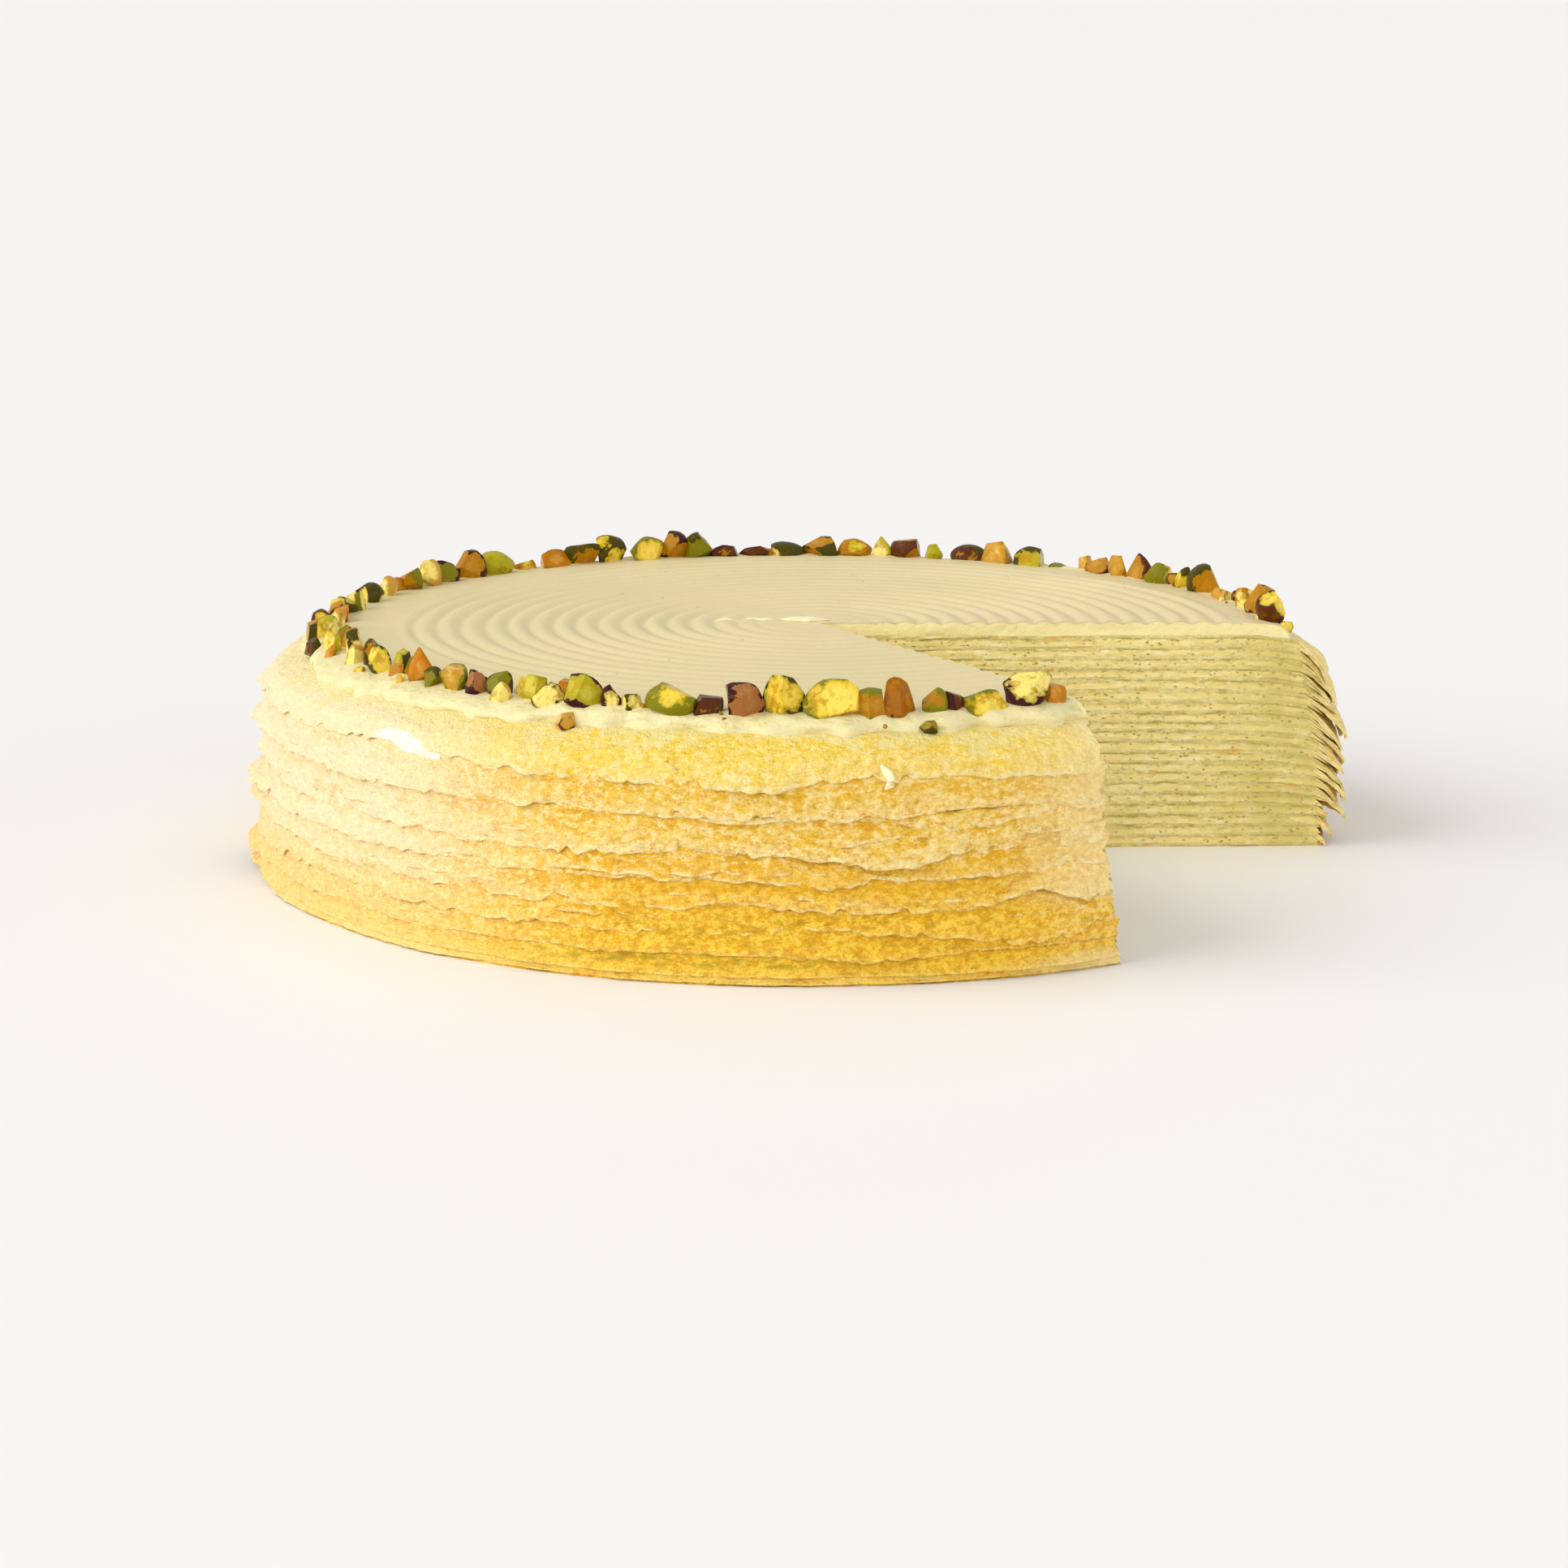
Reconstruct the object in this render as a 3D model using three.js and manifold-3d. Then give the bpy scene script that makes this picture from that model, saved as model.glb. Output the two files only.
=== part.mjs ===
// A round crepe cake with one slice taken out: thin crepes with cream between them, a combed top of
// cream, and chopped nuts round the rim. Millimetres, +Z up; the origin is where the cake's axis meets
// the surface that it stands on. The slice was taken out towards +X and -Y.
//
// Every layer lies between two level surfaces. A level surface is flat in the middle, bends down near
// the rim and then falls away as the free skirt of a crepe. Two neighbours share one level surface, so
// they lie on each other with no gap and no overlap.
import * as THREE from "three";
import { mergeVertices } from "three/addons/utils/BufferGeometryUtils.js";
import Module from "manifold-3d";

// The stack
const CREPE_COUNT = 21;
const LAYER_PITCH = 2.31; // from one crepe's underside to the next one's
const CREPE_THICKNESS = 0.9;
const TOP_HEIGHT = 50; // to the middle of the combed ridges
const TOP_CREPE_LEVEL = (CREPE_COUNT - 1) * LAYER_PITCH + CREPE_THICKNESS;

// The cut: both faces start at the knife's point and lean a little the same way
const CUT_POINT = { x: 3, y: -1 };
const FAR_CUT_DEG = 2.1; // azimuths at the base
const NEAR_CUT_DEG = 301.7;
const CUT_LEAN_DEG = -2; // from the base to the top
const RAYS = 24; // steps round the cake, an even number

// The level surfaces
const BEND_RADIUS = 97; // the layers are flat inside it
const CORE_RADIUS = 112.5; // edge of the cream at the base
const CORE_TAPER = 6.5; // the edge is this much further in at the top
const TAPER_POWER = 1.4;
const BEND_DROP = 1.8; // fall from the flat part to the edge of the cream
const SKIRT_SLOPE = 1.15; // fall of a skirt for each millimetre outwards
const PRESSED_HEIGHT = 16; // near the base the stack has no room to fall

// The free edges of the crepes
const EDGE_RADIUS = 115;
const EDGE_BULGE = 5; // the side is this much wider at half height
const LONG_CREPES = [0, 1, 3, 6, 8, 10, 13, 15, 18, 20]; // their skirts hide the shorter ones
const SHORT_SETBACK = 4.6;
const WAVE_HEIGHT = 0.55;
const WAVE_COUNTS = [3, 5, 8]; // waves in one turn

// The top of cream
const COMB_PITCH = 4.9;
const COMB_DEPTH = 0.7;
const COMB_END = 91; // the last ridge, from the knife's point
const RIM_PROFILE = [
  { radius: 96.5, height: 49.7 },
  { radius: 102.5, height: 48.9 },
  { radius: 105.2, height: 47.6 },
];
const TAIL = { x: 0.5, y: 1.2, length: 10, width: 2.6, height: 1.3 }; // where the comb was lifted off

// The chopped nuts, round the rim from the far cut to the near one:
// [azimuth in degrees, length along the rim, height above the cream, shift outwards]
const NUT_RADIUS = 101;
const NUT_SEAT = 49.1; // height of the cream under them
const RIM_FALL = 0.35; // how much lower the cream is for each millimetre outwards
const NUT_SINK = 0.9;
const NUT_DEPTH = { least: 2.4, most: 6.5 };
const NUT_SEED = 5;
const NUT_TILT = 0.5; // radians, as is the twist
const NUT_TWIST = 0.7;
const CORNER_PULL = 0.26;
const ROUNDED_LENGTH = 7; // longer pieces are ends of whole kernels
const ICOSAHEDRON_EXTENT = 0.85; // of one with a radius of 1, along each axis
const NUTS = [
  [3.6, 7, 6.8, 0.5], [8.2, 7, 7.2, 0.5], [13, 5, 5.5, 0], [17.5, 2.6, 3.4, 0.5], [20.5, 6.4, 3, 0],
  [26, 8, 7, 0], [30, 6, 5.6, 0], [32.5, 3.4, 4, 0.5], [35.5, 6.5, 5.4, -0.5], [39.5, 7, 6.8, 1],
  [42.5, 4.2, 5.4, -0.5], [46.5, 6.4, 4.4, 0], [49, 3.8, 4.6, 1], [53, 4.2, 1.8, 0], [57.3, 7.6, 5.2, 0],
  [62, 7.6, 5.6, 0], [66.5, 8.4, 4.6, 0.5], [71.7, 5, 4, 0], [75.3, 7.4, 5.2, 0], [78.7, 4.6, 5.4, 0.5],
  [82.5, 7.8, 4.6, 0], [87, 8.6, 5.2, 0], [91.5, 8, 3.8, -0.5], [96, 8, 3.2, 0], [100.3, 7, 3.3, 0],
  [104, 7, 6.6, 0], [107.5, 7.2, 7.4, 1], [111.5, 9.6, 6.2, -0.5], [117, 7.6, 7, 0], [121.3, 8.6, 6.4, 0],
  [125.5, 9.5, 4.7, 0], [130, 5, 3, 0], [135, 9, 6, 0], [139.5, 8, 7, 0], [144.5, 7.5, 5.8, 0.5],
  [147.5, 6, 6.5, -0.5], [151.5, 6.5, 5.5, 0], [153.6, 5, 4.4, 2], [157, 5, 5, -0.5], [161.5, 4, 5, 2.5],
  [162.5, 6, 5, -0.5], [166.5, 4, 4.4, 1.5], [171, 5.4, 4.4, 0], [176, 4.5, 4.8, 0], [181, 5, 5, 2],
  [185, 4, 5.5, -2], [187, 5, 4.6, 3], [192, 4, 6, -0.5], [193, 4, 3, 4], [196.5, 3.5, 5, 1],
  [199.5, 3, 4.6, 1], [202.5, 3, 4.6, -1], [205.5, 4, 7, -0.5], [209.5, 4.4, 6, -1], [211, 3, 2.4, 3.4],
  [213, 5, 6, 0.5], [214.8, 3.4, 5, -3], [216.8, 3, 3.2, 0.5], [219.5, 2.6, 2.8, 3], [220.6, 6.5, 7, -1],
  [223.8, 4.4, 4, 0], [227.3, 6, 5.4, 0], [231, 4.6, 5, 0], [233.5, 5, 5, -1.5], [235.2, 4, 4.3, 1.5],
  [238.8, 5.5, 5.5, -1], [241.2, 6.7, 4.5, 0.5], [242.6, 4, 4.6, -2], [245.5, 7.5, 6.5, 0], [248.7, 4, 5, 0],
  [251, 4.6, 3.6, 0], [255.5, 10, 5.8, 0], [259.5, 5.8, 3.8, 0], [263.5, 7.3, 6.4, 0], [267.8, 8, 8.6, 0],
  [273, 10.6, 7.3, 0], [277.2, 5.6, 5.5, 0], [280.2, 6, 7, 0], [284.3, 4.8, 5, 0], [286.3, 5, 4, -0.5],
  [290, 8.3, 4, 0], [295, 9.5, 7, 0], [297.6, 4.6, 3.8, -1],
];
const FALLEN_NUTS = [
  { azimuth: 244.8, radius: 106.2, height: 47.4, size: 3 },
  { azimuth: 282.8, radius: 106, height: 47.3, size: 2.8 },
];

const CREPE_MATERIAL = new THREE.MeshStandardMaterial({ color: 0xf0cd74, roughness: 0.8, metalness: 0 });
const CREAM_MATERIAL = new THREE.MeshStandardMaterial({ color: 0xe3dca0, roughness: 0.55, metalness: 0 });
const TOP_MATERIAL = new THREE.MeshStandardMaterial({ color: 0xe0d4a6, roughness: 0.5, metalness: 0 });

const wasm = await Module();
wasm.setup();

const radians = THREE.MathUtils.degToRad;

// A repeatable draw between 0 and 1 for two whole numbers
function draw(item, channel) {
  const wave = Math.sin(item * 12.9898 + channel * 78.233 + NUT_SEED) * 43758.5453;
  return wave - Math.floor(wave);
}

// --- level surfaces ---

function coreRadius(level) {
  return CORE_RADIUS - CORE_TAPER * Math.pow(level / TOP_HEIGHT, TAPER_POWER);
}

function levelHeight(radius, level) {
  const core = coreRadius(level);
  const bent = THREE.MathUtils.clamp((radius - BEND_RADIUS) / (core - BEND_RADIUS), 0, 1);
  const drop = BEND_DROP * bent + SKIRT_SLOPE * Math.max(radius - core, 0);
  const freedom = 1 - Math.exp(-level / PRESSED_HEIGHT);
  return level - drop * freedom;
}

function rayAzimuth(ray, level) {
  const lean = (CUT_LEAN_DEG * level) / TOP_HEIGHT;
  return radians(FAR_CUT_DEG + lean + ((NEAR_CUT_DEG - FAR_CUT_DEG) * ray) / RAYS);
}

// How far it is from the knife's point, along an azimuth, to a circle round the cake's axis
function reachTo(radius, azimuth) {
  const along = CUT_POINT.x * Math.cos(azimuth) + CUT_POINT.y * Math.sin(azimuth);
  const offset = CUT_POINT.x ** 2 + CUT_POINT.y ** 2;
  return Math.sqrt(radius ** 2 - offset + along ** 2) - along;
}

function pointAt(reach, azimuth, height) {
  return [CUT_POINT.x + reach * Math.cos(azimuth), CUT_POINT.y + reach * Math.sin(azimuth), height];
}

// One ring of a surface: a row of points from the far cut face round to the near one.
// radiusAt gives the radius for an azimuth, and every `step`th ray has a point.
function ringAt(level, step, radiusAt, heightAt) {
  const ring = [];
  for (let ray = 0; ray <= RAYS; ray += step) {
    const azimuth = rayAzimuth(ray, level);
    const radius = radiusAt(azimuth);
    ring.push(pointAt(reachTo(radius, azimuth), azimuth, heightAt(radius)));
  }
  return ring;
}

// A level surface as rings: the knife's point, the bend, the edge of the cream and, on a crepe, its own edge
function levelRings(level, edgeAt) {
  const heightAt = (radius) => levelHeight(radius, level);
  const rings = [
    [pointAt(0, 0, level)],
    ringAt(level, 2, () => BEND_RADIUS, heightAt),
    ringAt(level, 1, () => coreRadius(level), heightAt),
  ];
  if (edgeAt) rings.push(ringAt(level, 1, edgeAt, heightAt));
  return rings;
}

// --- closed bodies ---

// Collects points and triangles. A face is turned over where it belongs to an underside.
class Body {
  constructor() {
    this.points = [];
    this.faces = [];
  }

  addRings(rings) {
    return rings.map((ring) => ring.map((point) => this.points.push(point) - 1));
  }

  addFace(a, b, c, turned) {
    this.faces.push(...(turned ? [a, c, b] : [a, b, c]));
  }

  // The band between two rings that start and end on the same rays, split by how far along each ring is
  addBand(inner, outer, turned) {
    let i = 0;
    let o = 0;
    while (i < inner.length - 1 || o < outer.length - 1) {
      const nextInner = inner.length > 1 ? (i + 1) / (inner.length - 1) : Infinity;
      const nextOuter = (o + 1) / (outer.length - 1);
      const stepOuter = o < outer.length - 1 && nextOuter <= nextInner + 1e-9;
      if (stepOuter) {
        this.addFace(inner[i], outer[o], outer[o + 1], turned);
        o += 1;
      } else {
        this.addFace(inner[i], outer[o], inner[i + 1], turned);
        i += 1;
      }
    }
  }

  addSheet(rings, turned) {
    for (let k = 1; k < rings.length; k += 1) this.addBand(rings[k - 1], rings[k], turned);
  }

  // A wall between a lower and an upper row of points that run the same way, split by distance from the first
  addWall(lower, upper, turned) {
    const distance = (row, n) =>
      Math.hypot(this.points[row[n]][0] - CUT_POINT.x, this.points[row[n]][1] - CUT_POINT.y);
    let l = 0;
    let u = 0;
    while (l < lower.length - 1 || u < upper.length - 1) {
      const lowerNext = l < lower.length - 1 ? distance(lower, l + 1) : Infinity;
      const upperNext = u < upper.length - 1 ? distance(upper, u + 1) : Infinity;
      if (lowerNext <= upperNext) {
        this.addFace(lower[l], lower[l + 1], upper[u], turned);
        l += 1;
      } else {
        this.addFace(lower[l], upper[u + 1], upper[u], turned);
        u += 1;
      }
    }
  }

  geometry() {
    const geometry = new THREE.BufferGeometry();
    geometry.setAttribute("position", new THREE.Float32BufferAttribute(this.points.flat(), 3));
    geometry.setIndex(this.faces);
    return geometry;
  }
}

// The solid between two stacks of rings: the top sheet, the underside, the rim and both cut faces
function layerGeometry(lowerRings, upperRings) {
  const body = new Body();
  const lower = body.addRings(lowerRings);
  const upper = body.addRings(upperRings);
  body.addSheet(upper, false);
  body.addSheet(lower, true);
  const lowerRim = lower.at(-1);
  const upperRim = upper.at(-1);
  for (let n = 0; n < lowerRim.length - 1; n += 1) {
    body.addFace(lowerRim[n], lowerRim[n + 1], upperRim[n + 1], false);
    body.addFace(lowerRim[n], upperRim[n + 1], upperRim[n], false);
  }
  const firstRay = (rings) => rings.map((ring) => ring[0]);
  const lastRay = (rings) => rings.map((ring) => ring.at(-1));
  body.addWall(firstRay(lower), firstRay(upper), false);
  body.addWall(lastRay(lower), lastRay(upper), true);
  return body.geometry();
}

// --- crepes and cream ---

// The radius of a crepe's free edge, which wanders in and out round the cake
function crepeEdge(index) {
  const level = index * LAYER_PITCH;
  const bulge = EDGE_BULGE * Math.sin((Math.PI * index) / (CREPE_COUNT - 1));
  const setback = LONG_CREPES.includes(index) ? 0 : SHORT_SETBACK;
  const middle = Math.max(EDGE_RADIUS + bulge - setback, coreRadius(level) + 1.5);
  return (azimuth) => {
    let wave = 0;
    WAVE_COUNTS.forEach((count, n) => {
      wave += WAVE_HEIGHT * Math.sin(count * azimuth + 2 * Math.PI * draw(index, n));
    });
    return middle + wave;
  };
}

function crepeGeometry(index) {
  const level = index * LAYER_PITCH;
  const edge = crepeEdge(index);
  return layerGeometry(levelRings(level, edge), levelRings(level + CREPE_THICKNESS, edge));
}

function creamGeometry(index) {
  const from = index * LAYER_PITCH + CREPE_THICKNESS;
  return layerGeometry(levelRings(from), levelRings((index + 1) * LAYER_PITCH));
}

// --- the combed top ---

// Ridges run round the knife's point, which is close to the middle of the cake
function combedRings() {
  const rings = [[pointAt(0, 0, TOP_HEIGHT)]];
  const halfPitch = COMB_PITCH / 2;
  for (let n = 1; n * halfPitch <= COMB_END; n += 1) {
    const height = TOP_HEIGHT + (n % 2 ? -COMB_DEPTH / 2 : COMB_DEPTH / 2);
    const ring = [];
    for (let ray = 0; ray <= RAYS; ray += 1) {
      ring.push(pointAt(n * halfPitch, rayAzimuth(ray, TOP_HEIGHT), height));
    }
    rings.push(ring);
  }
  for (const { radius, height } of RIM_PROFILE) {
    rings.push(ringAt(TOP_HEIGHT, 1, () => radius, () => height));
  }
  return rings;
}

function solidFrom(geometry) {
  const bare = geometry.index ? geometry.toNonIndexed() : geometry.clone();
  bare.deleteAttribute("normal");
  bare.deleteAttribute("uv");
  const merged = mergeVertices(bare, 1e-4);
  const mesh = new wasm.Mesh({
    numProp: 3,
    vertProperties: new Float32Array(merged.attributes.position.array),
    triVerts: new Uint32Array(merged.index.array),
  });
  return new wasm.Manifold(mesh);
}

function geometryFrom(solid) {
  const mesh = solid.getMesh();
  const geometry = new THREE.BufferGeometry();
  geometry.setAttribute("position", new THREE.BufferAttribute(mesh.vertProperties, 3));
  geometry.setIndex(new THREE.BufferAttribute(mesh.triVerts, 1));
  return geometry;
}

// The plain shape of a nut, 2 across: the end of a kernel is round, and a chopped bit has six sides
function nutShape(rounded) {
  const shape = rounded
    ? new THREE.IcosahedronGeometry(1 / ICOSAHEDRON_EXTENT, 0)
    : new THREE.BoxGeometry(2, 2, 2);
  shape.deleteAttribute("normal");
  shape.deleteAttribute("uv");
  return mergeVertices(shape, 1e-4);
}

// A piece with its corners pulled in at random, stretched to its size, turned and set in place
function chunkSolid(item, size, place, turn) {
  const geometry = nutShape(size.x >= ROUNDED_LENGTH);
  const corners = geometry.getAttribute("position");
  for (let n = 0; n < corners.count; n += 1) {
    const pull = 1 - CORNER_PULL * draw(item, n + 10);
    corners.setXYZ(n, corners.getX(n) * pull, corners.getY(n) * pull, corners.getZ(n) * pull);
  }
  geometry.scale(size.x / 2, size.y / 2, size.z / 2);
  geometry.rotateX(NUT_TILT * (draw(item, 1) - 0.5));
  geometry.rotateZ(turn + NUT_TWIST * (draw(item, 2) - 0.5));
  geometry.translate(place.x, place.y, place.z);
  return solidFrom(geometry);
}

function placeAt(azimuthDeg, radius, height) {
  const azimuth = radians(azimuthDeg);
  return new THREE.Vector3(radius * Math.cos(azimuth), radius * Math.sin(azimuth), height);
}

function nutSolid([azimuthDeg, length, height, outwards], item) {
  const depth = THREE.MathUtils.clamp(0.9 * length, NUT_DEPTH.least, NUT_DEPTH.most);
  const seat = NUT_SEAT - RIM_FALL * Math.max(outwards, 0);
  const size = new THREE.Vector3(length, depth, height + NUT_SINK);
  const place = placeAt(azimuthDeg, NUT_RADIUS + outwards, seat + (height - NUT_SINK) / 2);
  return chunkSolid(item, size, place, radians(azimuthDeg + 90));
}

function fallenNutSolid({ azimuth, radius, height, size }, item) {
  const place = placeAt(azimuth, radius, height);
  return chunkSolid(item, new THREE.Vector3(size, size, 0.8 * size), place, radians(azimuth));
}

function tailSolid() {
  const size = new THREE.Vector3(TAIL.length, TAIL.width, 2 * TAIL.height);
  return chunkSolid(NUTS.length + FALLEN_NUTS.length, size, new THREE.Vector3(TAIL.x, TAIL.y, TOP_HEIGHT), 0);
}

// The cream with everything that lies on it, as one body. A hollow that the joining closes is filled.
function topGeometry() {
  const cream = solidFrom(layerGeometry(levelRings(TOP_CREPE_LEVEL), combedRings()));
  const nuts = NUTS.map(nutSolid);
  const fallen = FALLEN_NUTS.map((nut, n) => fallenNutSolid(nut, NUTS.length + n));
  const joined = wasm.Manifold.union([cream, ...nuts, ...fallen, tailSolid()]);
  const bodies = joined.decompose().sort((a, b) => b.volume() - a.volume());
  return geometryFrom(bodies[0]);
}

// --- the cake ---

function named(prefix, index) {
  return `${prefix}_${String(index + 1).padStart(2, "0")}`;
}

function addNode(group, name, geometry, material) {
  const mesh = new THREE.Mesh(geometry, material);
  mesh.name = name;
  group.add(mesh);
}

const cake = new THREE.Group();
for (let index = 0; index < CREPE_COUNT; index += 1) {
  addNode(cake, named("crepe", index), crepeGeometry(index), CREPE_MATERIAL);
  if (index < CREPE_COUNT - 1) addNode(cake, named("cream", index), creamGeometry(index), CREAM_MATERIAL);
}
addNode(cake, "top_cream", topGeometry(), TOP_MATERIAL);

export default cake;
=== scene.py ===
"""A crepe cake with one slice taken out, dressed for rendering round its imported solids.

Shapes are worked out in millimetres, +Z up, with the origin under the cake's middle, and become metres
when a mesh is made. Every layer lies between two level surfaces, as its solid does. Azimuths are in
radians, apart from those in tables and in names that end in deg.
"""
import math

import bmesh
import bpy
import numpy as np
from mathutils import Matrix, Vector


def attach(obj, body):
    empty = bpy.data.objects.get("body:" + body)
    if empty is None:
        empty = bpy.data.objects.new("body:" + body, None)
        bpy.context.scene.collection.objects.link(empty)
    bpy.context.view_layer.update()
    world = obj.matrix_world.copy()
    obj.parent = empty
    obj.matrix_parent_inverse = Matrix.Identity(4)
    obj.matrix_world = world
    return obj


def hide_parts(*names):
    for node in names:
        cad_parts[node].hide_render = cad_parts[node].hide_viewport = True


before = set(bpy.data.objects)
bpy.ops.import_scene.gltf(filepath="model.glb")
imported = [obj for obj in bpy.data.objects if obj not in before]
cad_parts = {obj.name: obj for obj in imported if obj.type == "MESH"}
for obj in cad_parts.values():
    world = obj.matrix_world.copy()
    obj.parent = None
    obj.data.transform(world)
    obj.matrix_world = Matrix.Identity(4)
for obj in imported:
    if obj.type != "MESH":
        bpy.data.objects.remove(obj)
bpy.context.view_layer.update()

MM = 0.001

# The stack, the cut and the level surfaces, as in the solids
CREPE_COUNT = 21
LAYER_PITCH = 2.31
CREPE_THICKNESS = 0.9
TOP_HEIGHT = 50
TOP_CREPE_LEVEL = (CREPE_COUNT - 1) * LAYER_PITCH + CREPE_THICKNESS
CUT_POINT = np.array([3.0, -1.0])
FAR_CUT_DEG = 2.1
NEAR_CUT_DEG = 301.7
CUT_LEAN_DEG = -2
BEND_RADIUS = 97
CORE_RADIUS = 112.5
CORE_TAPER = 6.5
TAPER_POWER = 1.4
BEND_DROP = 1.8
SKIRT_SLOPE = 1.15
PRESSED_HEIGHT = 16

# Only here: near the side the level surfaces bend down in a curve, and less so above the easing level
BEND_POWER = 1.4
TOP_EASING = 0.45
EASING_LEVEL = 30

# The free edges of the crepes, as in the solids, and how far inside those the dressed ones end
EDGE_RADIUS = 115
EDGE_BULGE = 5
EDGE_INSET = 0.9
LEAST_OVERHANG = 1.5
LONG_CREPES = [0, 1, 3, 6, 8, 10, 13, 15, 18, 20]
SHORT_SETBACK = 4.6
WAVE_HEIGHT = 0.55
WAVE_COUNTS = [3, 5, 8]

# How finely the meshes are divided
LONG_COLUMNS = 760
LONG_ROWS = 13
SHORT_COLUMNS = 240
SHORT_ROWS = 5
TOP_COLUMNS = 420
RIM_ROWS = 14
DRAPE_ROWS = 10
WALL_STEP = 0.55
CAP_RADIUS = 95
FAN_COLUMNS = 8
SMEAR_STEPS = 30
CURL_SIDES = 10

# The side, where the skirts lie on one another: its radius at each height, and where the long lips end
SIDE_LENGTH = 600
SIDE_LIMIT = 119.2
SIDE_PROFILE = [
    (0, 116.2), (8, 116.3), (16, 115.7), (24, 114.8), (34, 114.8), (39, 114.5), (43, 113.2), (46.5, 110),
]
LIP_HEIGHTS = {20: 38.7, 18: 32.3, 15: 24.7, 13: 20.1, 10: 14.7, 8: 10.1, 6: 6.2, 3: 2.6, 1: 1.2, 0: 0.45}
LIP_THICKNESS = 0.3
LIP_COVER = 1.0
TOP_SKIRT_BEND = 3.6
PLAIN_BEND = 22
LOOSE_BEND = 1.5
LOOSE_LENGTH = 26
SKIRT_GAP = 0.26
FLOOR_GAP = 0.12
CREAM_SQUEEZE = 4.2
SQUEEZE_SLOPE = 0.8

# How a lip wanders: height of the waves, how much higher where the skirt is loose, and their length
LIP_WAVES = [(0.7, 0, 55), (0.4, 0, 17), (0.25, 0.9, 5.3), (0.42, 0.7, 1.8)]
TEAR_HEIGHT = 2.2

# Places where a lip hangs lower (or higher): crepe, azimuth and half width in degrees, drop
DROOPS = [
    (20, 265, 7, 1.6), (20, 246, 5, 0.5), (20, 225, 9, -1.8), (20, 283, 4, -0.6), (20, 5, 1.6, -5),
    (18, 286, 6, -1.6), (18, 270, 5, 0.8), (16, 284, 7, 3.2), (15, 277, 4.5, 1.8), (15, 257, 6, -1.4),
    (15, 8, 2, -2), (13, 292, 7, -1.5), (10, 291, 3, -2.2), (10, 297, 3, 1.2), (10, 281, 6, 1.0),
    (10, 262, 5, -0.8), (10, 3, 2, -2), (8, 291, 7, 3.4), (8, 268, 8, -1.2), (6, 272, 7, 1.4),
    (6, 260, 6, -1.5), (3, 284, 8, -1.3),
]

# Places where a lip flares outwards: crepe, azimuth and half width in degrees, how far
FLARES = [
    (20, 181, 5, 1.4), (20, 267, 6, 0.8), (18, 184, 6, 2.2), (18, 262, 6, 0.5), (15, 181, 5, 1.6),
    (15, 277, 5, 0.9), (13, 186, 8, 3.4), (13, 268, 6, 0.7), (10, 184, 6, 2.0), (10, 268, 8, 0.6),
    (10, 292, 5, 0.8), (8, 281, 6, 0.9), (6, 187, 8, 2.4), (6, 275, 6, 1.1), (6, 250, 5, 0.6),
    (3, 183, 9, 1.8), (3, 290, 7, 0.9),
]

# How far the skirts are torn back at the near cut face, for each height
NEAR_TEAR = [(0, 1.8), (8, 2.6), (12.5, 3.6), (18, 3.6), (25, 2.4), (40, 2.0), (46, 1.4)]
TORN_COLUMNS = 14

# The cut faces: a groove runs under each crepe
GROOVE_DEPTH = 0.1
SEAM_DEPTH = 0.02

# The combed top and its rim of cream
COMB_PITCH = 4.9
COMB_DEPTH = 0.8
COMB_END = 91
COMB_FAINT = 0.35
RIM_PROFILE = [(91, 50.0), (96.5, 49.75), (100, 49.45), (102.5, 49.0), (106, 47.8)]
RIM_START = 102.5
RIM_REACH = 3.2
HEAPED_DEG = 217
CREAM_EDGE = 0.12

# Loose cream. Smears on the side: azimuth in degrees and height of the middle, half width, half height, how
# much it rises along its half width, thickness, how white
SMEARS = [(227.3, 40.6, 10.5, 1.7, -1.4, 0.6, 0.8)]
SMEAR_SUNK = 0.3
# Curls on the top: x and y of the middle, length, width, height, bend. The solids have the first, plainer.
COMB_TAILS = [(0.5, 1.2, 11, 2.8, 1.6, 0.5), (-9, 2.4, 7, 1.5, 0.7, -0.4), (-16, 0.8, 6, 1.2, 0.6, 0.3)]
# Flaps on the side: azimuth, lowest and highest height, width, how far out
SIDE_CURLS = [(277.6, 37.4, 41.8, 2.3, 0.7), (263.6, 46.4, 48.2, 0.9, 0.6)]
CURL_WHITE = 0.3

# Colours, as linear light
CREPE_PALE = (1.0, 0.79, 0.34)
# Painted glare on the side towards the window light
CREPE_GLARE_WHITE = (1.0, 0.86, 0.60)
CREPE_GOLD = (0.84, 0.43, 0.006)
CREPE_DEEP = (0.88, 0.43, 0.02)
CREPE_AMBER = (0.80, 0.41, 0.002)
CREPE_BEIGE = (0.93, 0.66, 0.25)
CREPE_SUNNY = (0.98, 0.63, 0.03)
# Painted glow of light through the thin fringe
CREPE_FRINGE_GLOW = (1.0, 0.80, 0.33)
CREPE_LIP = (1.0, 0.82, 0.42)
# Painted shadow in the gap at the foot
CREPE_GAP_SHADOW = (0.46, 0.36, 0.02)
CREPE_PORE = (0.58, 0.32, 0.01)
# Painted shadow under the lips
CREPE_LIP_SHADOW = (0.56, 0.32, 0.01)
CUT_CREPE = (0.86, 0.70, 0.26)
CUT_CREPE_PALE = (0.94, 0.80, 0.37)
CUT_CREPE_BROWNED = (0.92, 0.52, 0.14)
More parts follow.
